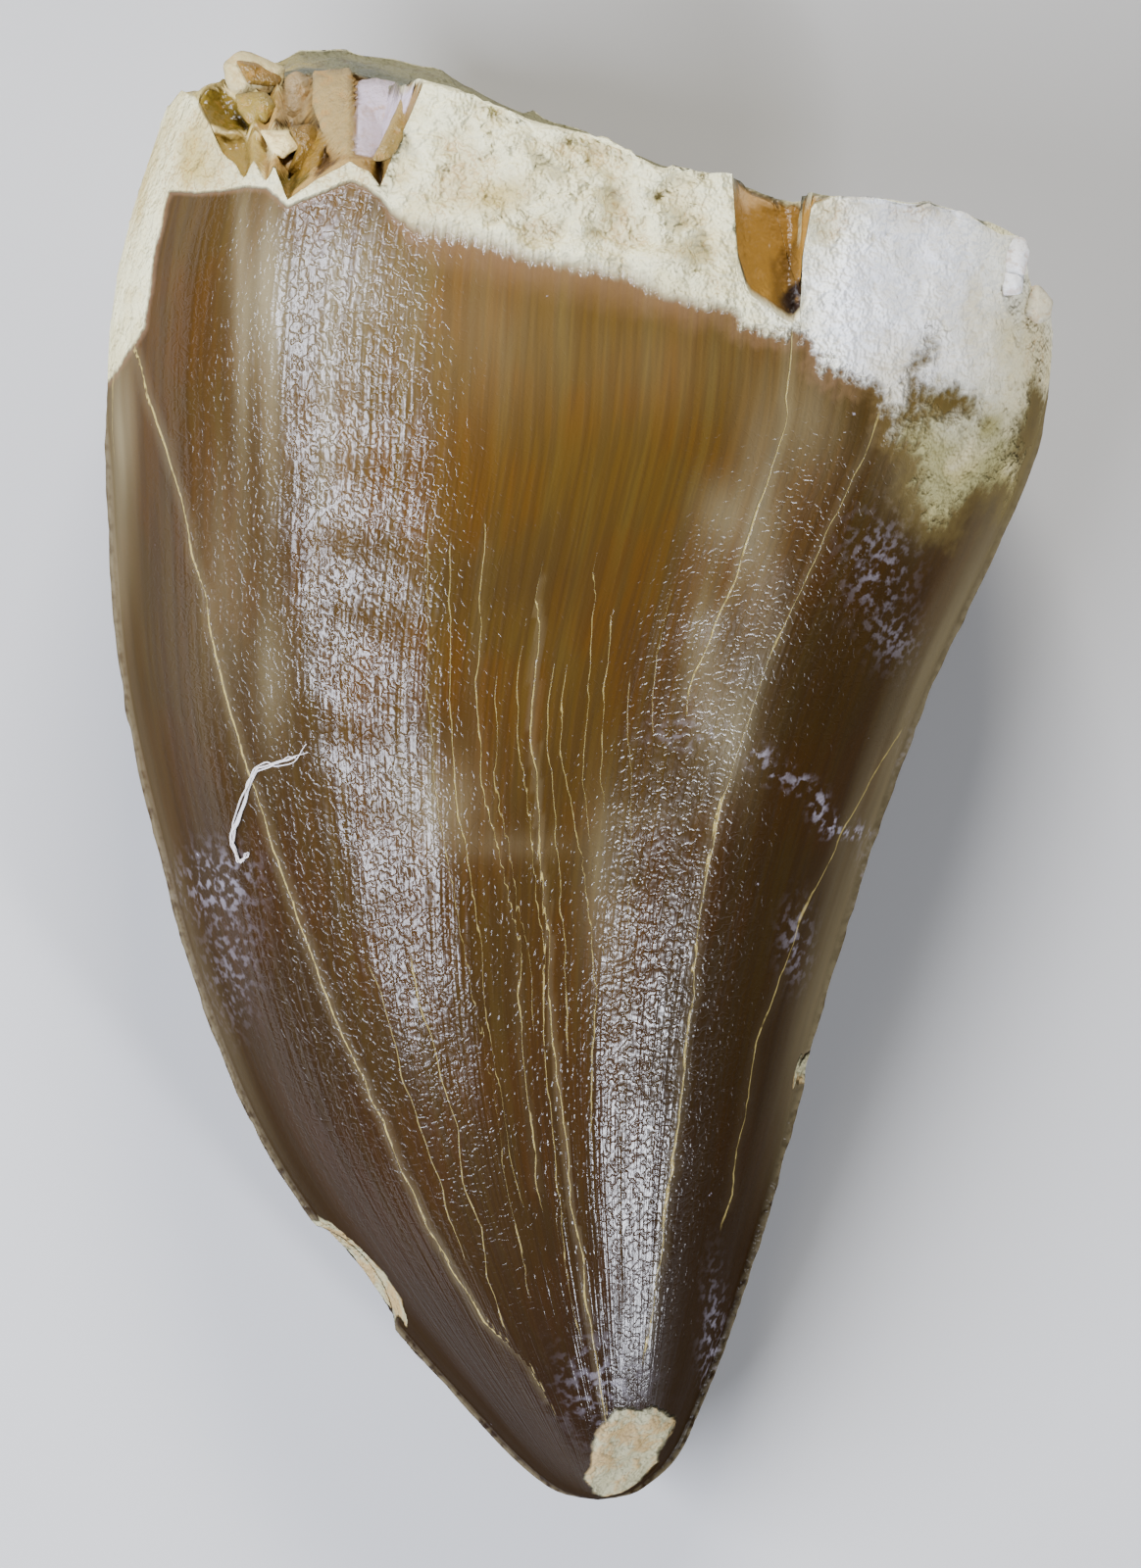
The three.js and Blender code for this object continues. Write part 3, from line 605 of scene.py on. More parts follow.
def roughenWalls(t):
    # relief = pits and lumps of the front + crumbling near its rim + grain of the root + waves and swells
    # of the faces, fading out at the keels
    s = toothShape
    aboveEdge = t.y - between(rootLine, 1, t.x)
    onRoot = smoothStep(5.6, 4.0, between(s["wholeRim"], 1, t.x) - t.y) * smoothStep(-0.3, 0.6, aboveEdge)
    crumble = onRoot * t.faceOn * smoothStep(-6.4, -4.6, t.x) * (1 - 0.75 * smoothStep(4.0, 5.5, t.x))
    relief = spots(t.x, t.y, frontRelief) * t.faceOn
    (soft, softSize), (sharp, sharpSize) = s["softCrumbs"], s["sharpCrumbs"]
    lumpy = soft * layeredBumps(t.place, softSize, 21, 2)
    lumpy = lumpy + sharp * np.abs(layeredBumps(t.place, sharpSize, 26, 3, 0.6))
    relief += crumble * (lumpy - 0.2)
    relief = np.maximum(relief, -s["deepestPit"])
    height, size = s["rootNoise"]
    relief += height * smoothStep(0, 1.0, aboveEdge) * layeredBumps(t.place, size, 22, 4, 0.65) * ~t.onEnd
    height, turnY, turnX = s["waves"]
    waves = np.sin(t.y * turnY + turnX * t.x) * spots(t.x, t.y, [s["waveSpot"]])
    (wide, wideSize), (fine, fineSize) = s["swells"]
    swells = height * waves + wide * bumps(t.place, wideSize, 23) + fine * bumps(t.place, fineSize, 27)
    relief += swells * t.faceOn
    t.place[:, 2] += relief * np.where(t.isFront, 1, -1) * np.minimum(1, 14 * t.share * (1 - t.share))
    # how deep each point lies in a pit of the relief, which the root's paint uses for painted shade in its
    # pits
    t.cavity = np.clip(-relief / 0.45, 0, 1) * ~t.onEnd


def beadKeels(t):
    # beads along the keels' ridges: a sine of y whose pace varies, and noise, pushed outwards
    s = toothShape
    t.keel = np.maximum(0, 1 - np.minimum(t.share, 1 - t.share) / s["ridgeShare"]) * ~t.onEnd
    (height, pace), (noise, size), highest = s["beads"]
    beads = height * np.sin(t.y * pace + 2 * np.sin(t.y * 1.7)) + noise * layeredBumps(t.place, size, 24, 3)
    outwards = np.where(t.share < 0.5, -1, 1) * smoothStep(-26, -22, t.y)
    t.place[:, 0] += t.keel * np.minimum(beads, highest) * outwards


def wearAway(t):
    # points beyond the worn tip's plane drop onto it, points inside a flake's ball move out to it, and none
    # stays below the floor. Bare is how far beyond the plane or inside a ball each point lay.
    s = toothShape
    point, facing = (np.array(v, float) for v in s["wornTip"])
    facing /= np.linalg.norm(facing)
    beyond = (t.place - point) @ facing
    t.bare = beyond.copy()
    height, size = s["wearNoise"]
    wear = height * layeredBumps(t.place, size, 25, 3)
    t.place -= np.maximum(beyond + wear * (beyond > 0), 0)[:, None] * facing * (beyond > 0)[:, None]
    for centre, radius in s["flakes"]:
        away = t.place - np.array(centre)
        distance = np.linalg.norm(away, axis=1)
        bitten = radius - distance
        t.bare = np.maximum(t.bare, bitten)
        t.place += np.maximum(bitten, 0)[:, None] * away / distance[:, None]
    t.place[:, 2] = np.maximum(t.place[:, 2], 0)


def aboveRootEdge(t):
    # distance above the line between enamel and root, less inside the brown islands of the front
    line = np.where(t.faceOn, aboveLineBy(t.x, t.y, rootLine), aboveLineBy(t.x, t.y, backRootLine))
    for cx, cy, rx, ry in brownIslands:
        away = (np.hypot((t.x - cx) / rx, (t.y - cy) / ry) - 1) * min(rx, ry)
        line = np.where(t.faceOn, np.minimum(line, np.maximum(away, -0.4)), line)
    return np.where(t.onEnd, 3.0, line)


def surfaceValues(t):
    # what the material reads at each point: sums of soft patches, the cracks' fan, the tone and the noises
    side = np.where(t.isFront, t.share, 1 - t.share)
    fan, gap, force, wide = crackFan(side, t.y)
    patchX = np.where(t.isFront, t.x, -t.x - 1.5)  # the back has the front's patches, turned over
    edges = 0.45 * smoothStep(0.93, 0.99, side) + 0.15 * smoothStep(0.05, 0.01, side)
    paleAndSheen = spots(patchX, t.y, paleAndSheenPatches) * ~t.onEnd
    # the tone darkens towards the tip, and on the flanks by painted shade
    tone = between(enamelTone, 1, t.y)
    for low, high, left in flankShades:
        tone = tone * (1 - (1 - left) * smoothStep(low, high, t.share))
    return {
        "rootEdge": aboveRootEdge(t),
        "edgeBlur": between(rootEdgeKind, 1, t.x), "edgeRag": between(rootEdgeKind, 2, t.x),
        "crackFan": fan, "crackGap": gap, "crackWide": wide,
        "crackForce": force * ~t.onEnd * np.where(t.isFront, 1, 0.8),
        "bare": t.bare, "broken": t.onEnd * 1.0, "painted": t.painted, "capDepth": t.depth,
        "cavity": t.cavity, "keel": t.keel, "tone": tone,
        "grain": np.clip(0.22 + spots(patchX, t.y, grainPatches), 0, 1),
        "paleAndSheen": paleAndSheen + edges * smoothStep(-18, -8, t.y) * ~t.onEnd,
        "dark": spots(patchX, t.y, darkPatches) * ~t.onEnd,
        "dust": spots(patchX, t.y, dustPatches) * ~t.onEnd,
        "warm": spots(patchX, t.y, warmPatches) * ~t.onEnd,
        "dull": spots(patchX, t.y, dullPatches),
        "medium": 0.5 + 0.5 * layeredBumps(t.place, 1.6, 62, 4),
        "mottle": 0.5 + 0.5 * layeredBumps(t.place, 3.4, 61, 3),
    }


def quadsBetween(ids):
    # a quad from each point of a ring to the next point and to the ring above
    turned = np.roll(ids, -1, 1)
    return np.stack([ids[:-1], turned[:-1], turned[1:], ids[1:]], -1).reshape(-1, 4).tolist()


def closedFaces(ids):
    # quads between the rings, and a cap on each end
    return quadsBetween(ids) + [ids[0][::-1].tolist(), ids[-1].tolist()]


def newPiece(name, points, faces):
    # a smooth mesh from points in millimetres, with its object at the origin
    mesh = bpy.data.meshes.new(name)
    mesh.from_pydata((points * mm).tolist(), [], faces)
    mesh.polygons.foreach_set("use_smooth", np.ones(len(faces), bool))
    piece = bpy.data.objects.new(name, mesh)
    bpy.context.scene.collection.objects.link(piece)
    return piece


def addNumbers(mesh, name, values):
    # one number at each point
    layer = mesh.attributes.new(name, "FLOAT", "POINT")
    layer.data.foreach_set("value", np.asarray(values, np.float32))


def addColours(mesh, tint, gloss):
    # the forms' own colours and gloss at each point
    layer = mesh.attributes.new("tint", "FLOAT_COLOR", "POINT")
    layer.data.foreach_set("color", np.column_stack([tint, np.ones(len(tint))]).astype(np.float32).ravel())
    addNumbers(mesh, "gloss", gloss)


def buildTooth():
    # points, then forms, relief, beads and wear; faces are quads between rings, a fan at the tip and a fan
    # in the middle of the broken end
    s = toothShape
    t = toothPoints()
    carveEnd(t)
    roughenWalls(t)
    beadKeels(t)
    wearAway(t)
    ring = 1 + np.arange(t.rowCount)[:, None] * t.columnCount + np.arange(t.columnCount)
    nextOne = np.roll(ring, -1, 1)
    tipFan = np.stack([np.zeros(t.columnCount, int), nextOne[0], ring[0]], 1)
    endFan = np.stack([ring[-1], nextOne[-1], np.full(t.columnCount, len(t.place) - 1)], 1)
    piece = newPiece("fossil_tooth", t.place, quadsBetween(ring) + tipFan.tolist() + endFan.tolist())
    mesh = piece.data
    values = surfaceValues(t)

    # the enamel is dull where it turns away from above, on the right flank and in bands on the left, and its
    # paint darkens there by painted shade
    upward = np.zeros(len(t.place) * 3)
    mesh.vertices.foreach_get("normal", upward)
    low, high, most = s["dullRight"]
    turned = smoothStep(0.8, 0.35, np.abs(upward[2::3]))
    turned = np.maximum(turned, most * smoothStep(low, high, t.share)) + values.pop("dull")
    values["flank"] = np.minimum(turned, 1) * ~t.onEnd
    for name, data in values.items():
        addNumbers(mesh, name, data)

    # flow runs across and along the crown, for streaks that follow it
    left, right = keels(t.y)
    flow = np.stack([np.where(t.isFront, t.share * 30, 60 - t.share * 30), t.y, (right - left) / 35], 1)
    layer = mesh.attributes.new("flow", "FLOAT_VECTOR", "POINT")
    layer.data.foreach_set("vector", np.asarray(flow, np.float32).ravel())
    addColours(mesh, t.tint, t.gloss)
    mesh.validate()
    mesh.update()
    return piece


def operator(name, reflected=False):
    # what stands for + - * or / on a wire: a Math node, with its sides swapped where it is reflected
    return lambda wire, other: wire.shade.maths(name, *((other, wire) if reflected else (wire, other)))


class Wire:
    # a shader socket that can stand in a Python sum
    def __init__(self, shade, socket):
        self.shade, self.socket = shade, socket

    __add__ = __radd__ = operator("ADD")
    __mul__ = __rmul__ = operator("MULTIPLY")
    __sub__, __rsub__ = operator("SUBTRACT"), operator("SUBTRACT", True)
    __truediv__, __rtruediv__ = operator("DIVIDE"), operator("DIVIDE", True)

    def __abs__(self):
        return self.shade.maths("ABSOLUTE", self, 0)


class Shade:
    # the nodes of one material
    def __init__(self, name):
        self.material = bpy.data.materials.new(name)
        self.material.use_nodes = True
        self.tree = self.material.node_tree
        self.tree.nodes.clear()

    def node(self, kind, settings, values, out=0):
        # a node of that type, its settings first, then the values or links of its sockets
        made = self.tree.nodes.new("ShaderNode" + kind)
        for key, value in settings.items():
            setattr(made, key, value)
        for key, value in values.items():
            if isinstance(value, Wire):
                self.tree.links.new(value.socket, made.inputs[key])
            else:
                made.inputs[key].default_value = value
        return Wire(self, made.outputs[out]) if made.outputs else None

    def maths(self, operation, a, b):
        # one operation on two numbers
        return self.node("Math", {"operation": operation}, {0: a, 1: b})

    def greater(self, a, b):
        # the larger of two numbers
        return self.maths("MAXIMUM", a, b)

    def scaled(self, vector, factors):
        # each part of the vector times its own factor
        return self.node("VectorMath", {"operation": "MULTIPLY"}, {0: vector, 1: factors})

    def millimetres(self):
        # the place in the object, in metres, times 1000
        return self.scaled(self.node("TexCoord", {}, {}, "Object"), (1000, 1000, 1000))

    def axis(self, vector, name):
        return self.node("SeparateXYZ", {}, {0: vector}, name)

    def attribute(self, name, out="Fac"):
        return self.node("Attribute", {"attribute_name": name}, {}, out)

    def noise(self, vector, size, detail, roughness=0.5):
        # noise around 0.5 with that size of its largest lumps
        values = {"Vector": vector, "Scale": 1 / size, "Detail": detail, "Roughness": roughness}
        return self.node("TexNoise", {}, values)

    def step(self, value, low, high):
        # 0 below low and 1 above high, with a smooth rise between them
        settings = {"interpolation_type": "SMOOTHSTEP"}
        return self.node("MapRange", settings, {"Value": value, "From Min": low, "From Max": high})

    def mix(self, factor, a, b):
        # colour a where the factor is 0, b where it is 1
        settings = {"data_type": "RGBA", "clamp_factor": True}
        return self.node("Mix", settings, {0: factor, 6: a, 7: b}, 2)

    def layers(self, colour, *coats):
        # each coat's colour over what lies below it, by the coat's factor
        for factor, coat in coats:
            colour = self.mix(factor, colour, coat)
        return colour

    def bump(self, height):
        # the normal of a relief given in millimetres
        return self.node("Bump", {}, {"Strength": 1.0, "Distance": mm, "Height": height})

    def principled(self, values):
        return self.node("BsdfPrincipled", {}, values)

    def finish(self, surface):
        self.node("OutputMaterial", {}, {"Surface": surface})
        return self.material


toothLook = {
    # enamel
    "brown": rgb(101, 77, 33),
    "orangeBrown": rgb(107, 76, 30),
    "olive": rgb(108, 92, 46),
    "darkBrown": rgb(76, 58, 32),
    "deep": rgb(26, 14, 4),
    "flankShade": rgb(50, 37, 6),
    "paleAndSheen": rgb(140, 130, 104),
    "pinkBrown": rgb(140, 114, 90),
    "greenBrown": rgb(124, 110, 66),
    "crack": rgb(168, 154, 104),
    "dust": rgb(172, 168, 176),
    "wornTip": rgb(164, 160, 134),
    # root
    "cream": rgb(208, 205, 180),
    "whiteCream": rgb(222, 223, 218),
    "yellowCream": rgb(186, 174, 124),
    "greenCream": rgb(152, 146, 100),
    "warmCream": rgb(180, 166, 116),
    "shaded": rgb(186, 176, 138),
    "stain": rgb(166, 134, 80),
    # broken end
    # painted shade, for the pits of the broken end and the chips' edges and sides
    "shadeBrown": rgb(104, 92, 66),
    "greyBreak": rgb(106, 107, 90),
    "beigeBreak": rgb(136, 133, 104),
    "yellowBreak": rgb(168, 156, 108),
    # sizes and heights in millimetres
    "gritSize": 0.35,
    "crumbSize": 1.0,
    "crumbHeight": 0.8,
    "streaks": (1.6, 0.09, 1),  # how often they change across and along the crown
    "fibres": (5.0, 0.2, 1),
    "fibreHeight": 0.03,
    "pebbleSize": 0.36,
    "pebbleHeight": 0.038,
    "grooveDepth": 0.014,
    "crackDepth": 0.05,
    # finish
    "enamelRoughness": 0.2,
    "rootRoughness": 0.55,
    "IOR": 1.34,
    "dullFlank": 0.95,
}


def toothNoises(m):
    # place in millimetres, noises in it, streaks and fibres along the crown, and what several parts read
    k = toothLook
    place = m.millimetres()
    flow = m.attribute("flow", "Vector")
    return SimpleNamespace(
        place=place, across=m.axis(place, "X"), along=m.axis(place, "Y"),
        medium=m.attribute("medium"), mottle=m.attribute("mottle"),
        grit=m.noise(place, k["gritSize"], 2),
        crumb=m.noise(place, k["crumbSize"], 3, 0.68),
        streak=m.noise(m.scaled(flow, k["streaks"]), 1.0, 2),
        fibre=m.noise(m.scaled(flow, k["fibres"]), 1.0, 1),
        flank=m.attribute("flank"))


def enamelColour(m, n):
    # brown with streaks along the crown, pale and dark patches, the broad pale one at the upper left a
    # painted sheen, darker as the tone falls, and darker on the flanks by painted shade
    k, tone = toothLook, m.attribute("tone")
    return m.layers(
        k["brown"],
        (m.step(n.mottle, 0.3, 0.7), k["orangeBrown"]),
        (m.step(n.streak, 0.42, 0.7) * 0.45, k["olive"]),
        (m.step(n.fibre, 0.4, 0.6) * 0.35, k["darkBrown"]),
        (m.attribute("dark") * (0.3 + n.medium * 0.8), k["darkBrown"]),
        (1 - tone, k["deep"]),
        # painted shade on the flanks
        (n.flank * (1 - tone) * 0.4, k["flankShade"]),
        # pale streaks, and a painted sheen at the upper left
        (m.attribute("paleAndSheen") * (0.2 + n.streak * 1.3), k["paleAndSheen"]))


def rootColour(m, n, farRight):
    # cream, bleached to the right, yellow and green at its low right end, with painted shade in the hollows
    # of its relief and in its pits, the deepest pits darker still by stain and painted shade, and stained
    # veins
    k, warm, cavity = toothLook, m.attribute("warm"), m.attribute("cavity")
    bleached = m.step(n.across + (n.mottle - 0.5) * 6, 5.0, 10.0) * (1 - m.step(n.across, 13.0, 16.5) * 0.6)
    yellow = (1 - m.step(n.along + (n.mottle - 0.5) * 5, 13.5, 18.0)) * farRight
    green = (1 - m.step(n.along + (n.medium - 0.5) * 4, 11.6, 15.0)) * farRight
    vein = (1 - m.step(abs(n.crumb - 0.5), 0.0, 0.03)) * m.step(warm + cavity * 0.5, 0.1, 0.5)
    return m.layers(
        k["cream"],
        (bleached, k["whiteCream"]),
        (yellow * 0.5, k["yellowCream"]),
        (green * 0.9, k["greenCream"]),
        (m.step(n.medium, 0.55, 0.85) * 0.35, k["yellowCream"]),
        (warm * (0.3 + n.medium), k["warmCream"]),
        # painted shade: the hollows of the crumbly relief, then the pits by their depth; the deepest pits
        # take the stain colour, partly stain and partly painted shade
        ((1 - m.step(n.crumb, 0.3, 0.4)) * 0.4, k["shaded"]),
        (m.step(cavity, 0.15, 0.8) * 0.5, k["shaded"]),
        (m.step(cavity + (n.grit - 0.5) * 0.8, 0.8, 1.2) * 0.45, k["stain"]),
        (vein * 0.5, k["stain"]))


def crackLines(m, n):
    # thin lines where the fan's number is whole, and a wider halo along the strongest
    gap, strength = m.attribute("crackGap"), m.attribute("crackForce")
    fan = m.attribute("crackFan") + (n.medium - 0.5) * 0.25 / gap
    away = abs(fan - m.maths("ROUND", fan, 0)) * gap
    wide = m.attribute("crackWide") * (0.25 + n.medium * 0.5)
    line = (1 - m.step(away / wide, 0.3, 1.1)) * (strength * m.step(n.grit, 0.2, 0.55))
    return line, (1 - m.step(away, 0.0, 0.42)) * m.step(strength, 0.7, 1.0)


def endColour(m, n):
    # the broken end: cream at the front rim, then grey, then beige, yellower at the left, with painted shade
    # in the pits of its relief
    k, depth = toothLook, m.attribute("capDepth") + (n.medium - 0.5) * 0.3
    return m.layers(
        k["greyBreak"],
        (m.step(depth, 0.6, 0.9), k["beigeBreak"]),
        (1 - m.step(depth, 0.03, 0.12), k["cream"]),
        (1 - m.step(n.across + (n.mottle - 0.5) * 5, -11.5, -8.5), k["yellowBreak"]),
        ((1 - m.step(n.crumb, 0.34, 0.42)) * 0.55, k["shadeBrown"]))


def toothMaterial():
    # enamel, root, cracks, worn places, broken end and bite, one over another by the mesh's attributes
    k = toothLook
    m = Shade("fossil_tooth")
    n = toothNoises(m)

    # the edge between enamel and root is soft or ragged, with a paler rim of enamel below it
    blur = m.attribute("edgeBlur")
    rag = m.attribute("edgeRag") * ((n.medium - 0.5) * 1.6 + (n.grit - 0.5) * 1.6)
    edge = (m.attribute("rootEdge") + rag + (n.fibre - 0.5) * blur * 0.8) / blur
    root = m.step(edge, -1.0, 1.0)
    farRight = m.step(n.across, 9.0, 12.0)
    enamelRim = m.mix(farRight, k["pinkBrown"], k["greenBrown"])

    line, halo = crackLines(m, n)
    dust = m.attribute("dust") * m.step(n.grit, 0.47, 0.66)
    speck = m.step(n.grit, 0.78, 0.82) * (1 - root)
    bare = m.step(m.attribute("bare") + (n.medium - 0.5) * 0.5 + (n.crumb - 0.5) * 0.3, -0.04, 0.06)
    broken, painted = m.attribute("broken"), m.attribute("painted")
    colour = m.layers(
        enamelColour(m, n),
        (m.step(edge, -3.5, -0.5) * 0.42, enamelRim),
        (root, rootColour(m, n, farRight)),
        (m.attribute("keel") * (1 - root) * m.step(n.grit, 0.3, 0.6) * 0.5, k["paleAndSheen"]),
        (halo * 0.16, k["paleAndSheen"]),
        (line * (1 - root * 0.6), k["crack"]),
        (dust * 0.6, k["dust"]),
        (speck * 0.6, k["dust"]),
        (bare, m.mix(m.step(n.crumb, 0.45, 0.6) * 0.55, k["wornTip"], k["stain"])),
        (broken, endColour(m, n)),
        (painted, m.mix(m.step(n.grit, 0.5, 0.75) * 0.35, m.attribute("tint", "Color"), k["stain"])))

    # relief: pebbled enamel, faint striae, cracks, and the rougher root and break
    rooted = m.greater(m.greater(root, bare), broken) * (1 - painted * 0.7)
    pebble = m.noise(n.place, k["pebbleSize"], 1)
    plateau = m.step(abs(pebble - 0.5), 0.0, 0.07)
    height = (pebble * k["pebbleHeight"] + plateau * k["grooveDepth"]) * (1 - rooted) * m.attribute("grain")
    height = height + n.fibre * (1 - rooted) * k["fibreHeight"] - line * k["crackDepth"]
    height = height + n.crumb * rooted * k["crumbHeight"]

    # the flanks lose their gloss by a mix of a polished and a dull finish
    rough = k["enamelRoughness"] + rooted * (k["rootRoughness"] - k["enamelRoughness"]) + dust * 0.2
    rough = m.node("Mix", {"data_type": "FLOAT"}, {0: painted, 2: rough, 3: glossRoughness(m)})
    shared = {"Base Color": colour, "Roughness": rough, "Normal": m.bump(height)}
    polished = m.principled({**shared, "IOR": k["IOR"]})
    dull = m.principled({**shared, "Specular IOR Level": 0})
    return m.finish(m.node("MixShader", {}, {0: n.flank * k["dullFlank"], 1: polished, 2: dull}))


def glossRoughness(m):
    # the roughness of a form, from its gloss between 0 and 1
    return 0.6 - m.attribute("gloss") * 0.38


def chipMaterial():
    # each chip's own colour, stained by noise, with painted shade darkening its edges and sides
    m = Shade("bite_chips")
    grit = m.noise(m.millimetres(), chipShape["gritSize"], 4, 0.6)
    colour = m.mix((1 - m.step(grit, 0.35, 0.5)) * 0.5, m.attribute("tint", "Color"), toothLook["stain"])
    colour = m.mix(m.attribute("edgeShade") * m.step(grit, 0.35, 0.6) * 0.7, colour, toothLook["shadeBrown"])
    values = {"Base Color": colour, "Roughness": glossRoughness(m), "IOR": 1.4}
    return m.finish(m.principled({**values, "Normal": m.bump(grit * chipShape["gritHeight"])}))


def wallHeight(x, level, margin=0.0):
    # height of the front wall at level over x, held within its share of the width less a margin
    left, right = keels(level)
    share = np.clip((x - left) / (right - left), margin, 1 - margin)
    return wallXz(np.ones(len(x), bool), share, level)[1]


def biteFloor(x, y):
    # height of the bite's sloping floor: down from the front rim by the climb's slope
    front = wallHeight(x, np.full(len(x), toothShape["rootLevelY"], float))
    rim = between(toothShape["frontRim"], 1, x)
    return front - np.maximum(y - rim, 0) / between(toothShape["climb"], 1, x)


# The chips that stand in the bite and the lumps at the right edge, in millimetres
chipShape = {
    "around": 48,
    "rows": 12,
    "sideDepth": 2.5,
    "rounding": 0.3,
    "leanToRim": 0.5,
    "bumpHeight": 0.09,
    "bumpSize": 0.8,
    "gritSize": 0.5,
    "gritHeight": 0.2,
}


def outlinePoints(corners, count, seed):
    # count points along a closed outline, turning left, each averaged with its neighbours and moved from
    # the middle by up to 6% with noise
    outer = np.array(corners + corners[:1], float)
    if (outer[:-1, 0] * outer[1:, 1] - outer[1:, 0] * outer[:-1, 1]).sum() < 0:
        outer = outer[::-1]
    length = np.concatenate([[0], np.cumsum(np.linalg.norm(np.diff(outer, axis=0), axis=1))])
    at = np.linspace(0, length[-1], count, endpoint=False)
    points = np.stack([np.interp(at, length, outer[:, axis]) for axis in (0, 1)], 1)
    points = points * 0.5 + (np.roll(points, 1, 0) + np.roll(points, -1, 0)) * 0.25
    uneven = layeredBumps(np.column_stack([points, np.zeros(count)]), 0.5, seed, 2)
    return points + (points - points.mean(0)) * 0.06 * uneven[:, None]


def buildChips():
    # each chip is its outline drawn in to a middle point: its top leans with the bite's floor and is
    # level + lean - rounding (1 - t)^3, uneven by noise, for t from 0 at the outline to 1 in the middle;
    # its sides go straight down. In the bite the level is a rise above its floor.
    c = chipShape
    count = c["around"]
    inwards = np.linspace(0, 1, c["rows"], endpoint=False) ** 1.3
    verts, faces, tint, gloss, edgeShade = [], [], [], [], []
    forms = [form for form in biteForms.values() if form[1] > 0] + list(rimLumps.values())
    for seed, (corners, level, slopeX, slopeY, colour, shine) in enumerate(forms):
        outer = outlinePoints(corners, count, seed)
        middle = outer.mean(0)
        if level < 1:
            level += biteFloor(middle[:1], middle[1:])[0]
        rings = [np.column_stack([middle + (outer - middle) * 0.9, np.full(count, level - c["sideDepth"])])]
        for t in inwards:
            flat = middle + (outer - middle) * (1 - t)
            noiseAt = np.column_stack([flat, np.full(count, seed)])
            rough = c["bumpHeight"] * layeredBumps(noiseAt, c["bumpSize"], 71, 3, 0.6)
            lean = slopeX * (flat - middle)[:, 0] + (slopeY - c["leanToRim"]) * (flat - middle)[:, 1]
            rings.append(np.column_stack([flat, level + lean - c["rounding"] * (1 - t) ** 3 + rough]))
        ids = len(verts) + np.arange(len(rings) * count).reshape(len(rings), count)
        verts += np.concatenate(rings).tolist()
        faces += closedFaces(ids)
        tint += [paint(colour)] * ids.size
        gloss += [shine] * ids.size
        # painted shade: full on the sides, fading fast inwards from the outline
        edgeShade += np.repeat(np.concatenate([[1], (1 - inwards) ** 7]), count).tolist()
    piece = newPiece("bite_chips", np.array(verts), faces)
    addColours(piece.data, np.array(tint), gloss)
    addNumbers(piece.data, "edgeShade", edgeShade)
    return piece


# A stray fibre that lies on the crown, with its tuft
fibreShape = {
    "path": [(-10.1, 0.8), (-10.7, 0.5), (-11.2, 0.4), (-11.8, 0.2), (-12.1, -0.4), (-12.4, -1.2),
             (-12.7, -2.0), (-12.8, -2.6), (-12.5, -3.2), (-12.3, -3.1), (-12.2, -2.9)],
    "radius": 0.034,
    "strands": 4,
    "steps": 90,
    "spread": (0.10, 0.22),  # in the middle, and how much more at the tuft
    "clearance": 0.05,
    "lift": 0.25,
    "colour": rgb(200, 196, 194),
    "roughness": 0.7,
}


def tube(points, radius, sides=6):
    # a circle of that radius, tapering at both ends, carried along the points, as rings of vertices
    ahead = np.gradient(points, axis=0)
    ahead /= np.linalg.norm(ahead, axis=1)[:, None]
    across = np.cross(ahead, (0.1, 0.2, 1.0))
    across /= np.linalg.norm(across, axis=1)[:, None]
    up = np.cross(across, ahead)
    turn = np.linspace(0, 2 * math.pi, sides, endpoint=False)[None, :, None]
    taper = np.sin(np.linspace(0.12, math.pi - 0.12, len(points))) ** 0.4
    ring = across[:, None] * np.cos(turn) + up[:, None] * np.sin(turn)
    return points[:, None] + ring * (radius * taper)[:, None, None]


def buildFibre():
    # strands along one path, each moved aside and lifted by its own noise, just above the front wall
    f = fibreShape
    path = np.array(f["path"])
    places = np.linspace(0, len(path) - 1, f["steps"])
    x0, y0 = (np.interp(places, np.arange(len(path)), path[:, axis]) for axis in (0, 1))
    rings, faces = [], []
    for strand in range(f["strands"]):
        least, more = f["spread"]
        spread = least + more * np.exp(-places / 1.2)
        noiseAt = np.stack([places, np.full(f["steps"], strand * 7.0), np.zeros(f["steps"])], 1)
        x = x0 + spread * bumps(noiseAt, 0.8, 41)
        y = y0 + spread * bumps(noiseAt, 0.8, 42)
        lift = f["lift"] * np.abs(bumps(noiseAt, 1.5, 43)) * np.sin(places / places[-1] * math.pi)
        z = wallHeight(x, y, 0.001) + f["clearance"] + lift
        ring = tube(np.stack([x, y, z], 1), f["radius"])
        rows, sides = ring.shape[:2]
        faces += closedFaces(strand * rows * sides + np.arange(rows * sides).reshape(rows, sides))
        rings.append(ring.reshape(-1, 3))
    return newPiece("stray_fibre", np.concatenate(rings), faces)


def lintMaterial():
    # the fibre's colour, up to 8% darker by noise
    m = Shade("lint")
    colour = fibreShape["colour"]
    dim = tuple(c * 0.92 for c in colour[:3]) + (1.0,)
    shown = m.mix(m.noise(m.millimetres(), 1.5, 2), colour, dim)
    return m.finish(m.principled({"Base Color": shown, "Roughness": fibreShape["roughness"]}))


tooth = buildTooth()
tooth.data.materials.append(toothMaterial())
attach(tooth, "root")
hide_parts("tooth")
print("tooth made,", len(tooth.data.polygons), "faces")

chips = buildChips()
chips.data.materials.append(chipMaterial())
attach(chips, "root")
print("chips made")

fibre = buildFibre()
fibre.data.materials.append(lintMaterial())
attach(fibre, "root")
print("fibre made")

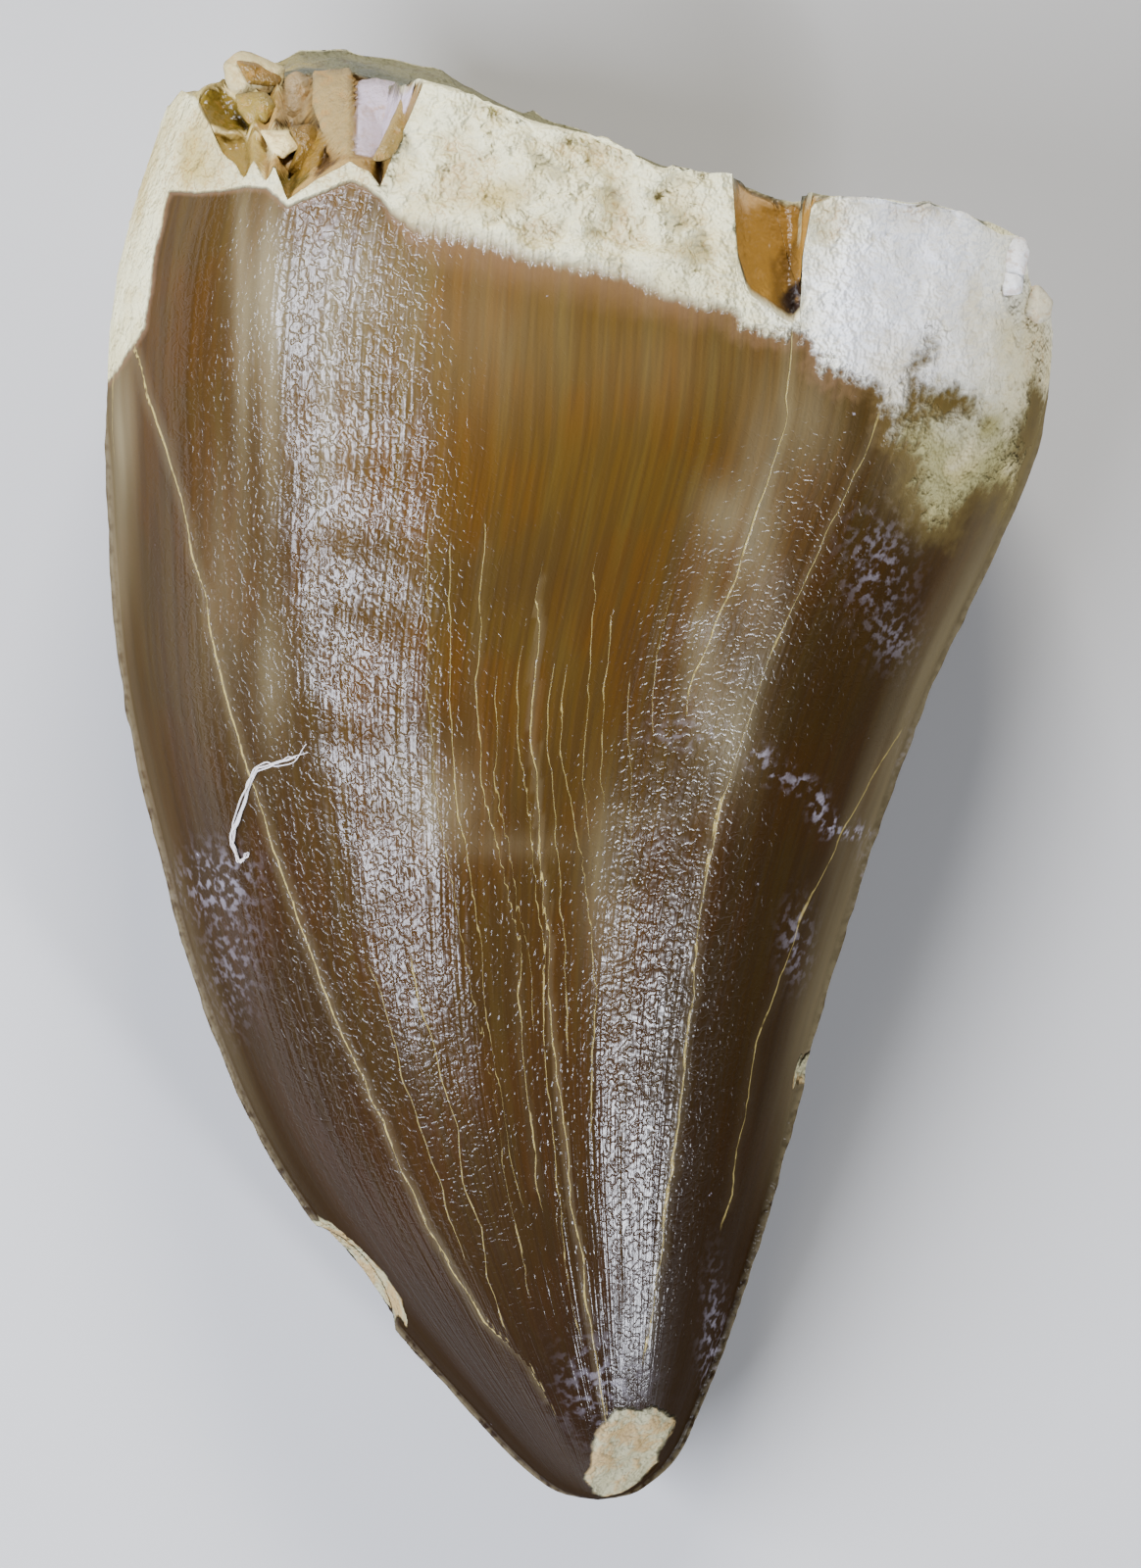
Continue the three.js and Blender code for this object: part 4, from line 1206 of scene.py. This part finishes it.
# Pale floor, soft lights and a camera that looks straight down
studio = {
    "floorColour": rgb(182, 181, 179),
    "floorRoughness": 0.9,
    "floorSize": 3000,
    "floorDrop": 0.02,
    "viewHeight": 500,
    "outlineZ": 9.5,
    "aim": (-0.33, -0.36),
    "framedLength": 58.18,
    # two ends, point it faces, width, power in watts, colour
    "lights": {
        "left strip": ((-222, 45, 150), (-100, -155, 161), (-4, 4, 14), 27, 1.86, (0.80, 0.85, 1.0)),
        "right strip": ((147, -165, 150), (160, -185, 68), (4, -12, 11), 22, 0.85, (0.85, 0.89, 1.0)),
        "top fill": ((-30, 260, 190), (60, 260, 190), (0, 5, 10), 60, 1.4, (1.0, 0.98, 0.95)),
    },
    "air": (0.55, 0.56, 0.58, 1),
    "airStrength": 0.12,
}


def buildFloor():
    # one large square just below the tooth
    half = studio["floorSize"] / 2 * mm
    mesh = bpy.data.meshes.new("floor")
    corners = [(-half, -half), (half, -half), (half, half), (-half, half)]
    mesh.from_pydata([(x, y, -studio["floorDrop"] * mm) for x, y in corners], [], [(0, 1, 2, 3)])
    floor = bpy.data.objects.new("floor", mesh)
    bpy.context.scene.collection.objects.link(floor)
    m = Shade("floor")
    values = {"Base Color": studio["floorColour"], "Roughness": studio["floorRoughness"]}
    floor.data.materials.append(m.finish(m.principled(values)))


def buildLights():
    # each lamp's long side runs between its two ends, and it faces its target
    for name, (start, end, target, width, power, colour) in studio["lights"].items():
        start, end, target = Vector(start), Vector(end), Vector(target)
        along = (end - start).normalized()
        middle = (start + end) / 2
        back = middle - target
        back = (back - along * back.dot(along)).normalized()
        lamp = bpy.data.lights.new(name, "AREA")
        lamp.shape = "RECTANGLE"
        lamp.size, lamp.size_y = width * mm, (end - start).length * mm
        lamp.energy, lamp.color = power, colour
        light = bpy.data.objects.new(name, lamp)
        light.location = middle * mm
        light.rotation_euler = Matrix((along.cross(back), along, back)).transposed().to_euler()
        bpy.context.scene.collection.objects.link(light)
    world = bpy.data.worlds.new("studio")
    world.use_nodes = True
    world.node_tree.nodes["Background"].inputs["Color"].default_value = studio["air"]
    world.node_tree.nodes["Background"].inputs["Strength"].default_value = studio["airStrength"]
    bpy.context.scene.world = world


def buildCamera():
    # the lens frames framedLength at the height of the tooth's outline: length / sensor = reach / frame
    lens = bpy.data.cameras.new("camera")
    reach = studio["viewHeight"] - studio["outlineZ"]
    lens.sensor_width = 36
    lens.lens = 36 * reach / studio["framedLength"]
    lens.clip_start = 0.01
    camera = bpy.data.objects.new("camera", lens)
    bpy.context.scene.collection.objects.link(camera)
    camera.location = (studio["aim"][0] * mm, studio["aim"][1] * mm, studio["viewHeight"] * mm)
    bpy.context.scene.camera = camera


buildFloor()
buildLights()
buildCamera()
print("studio made")
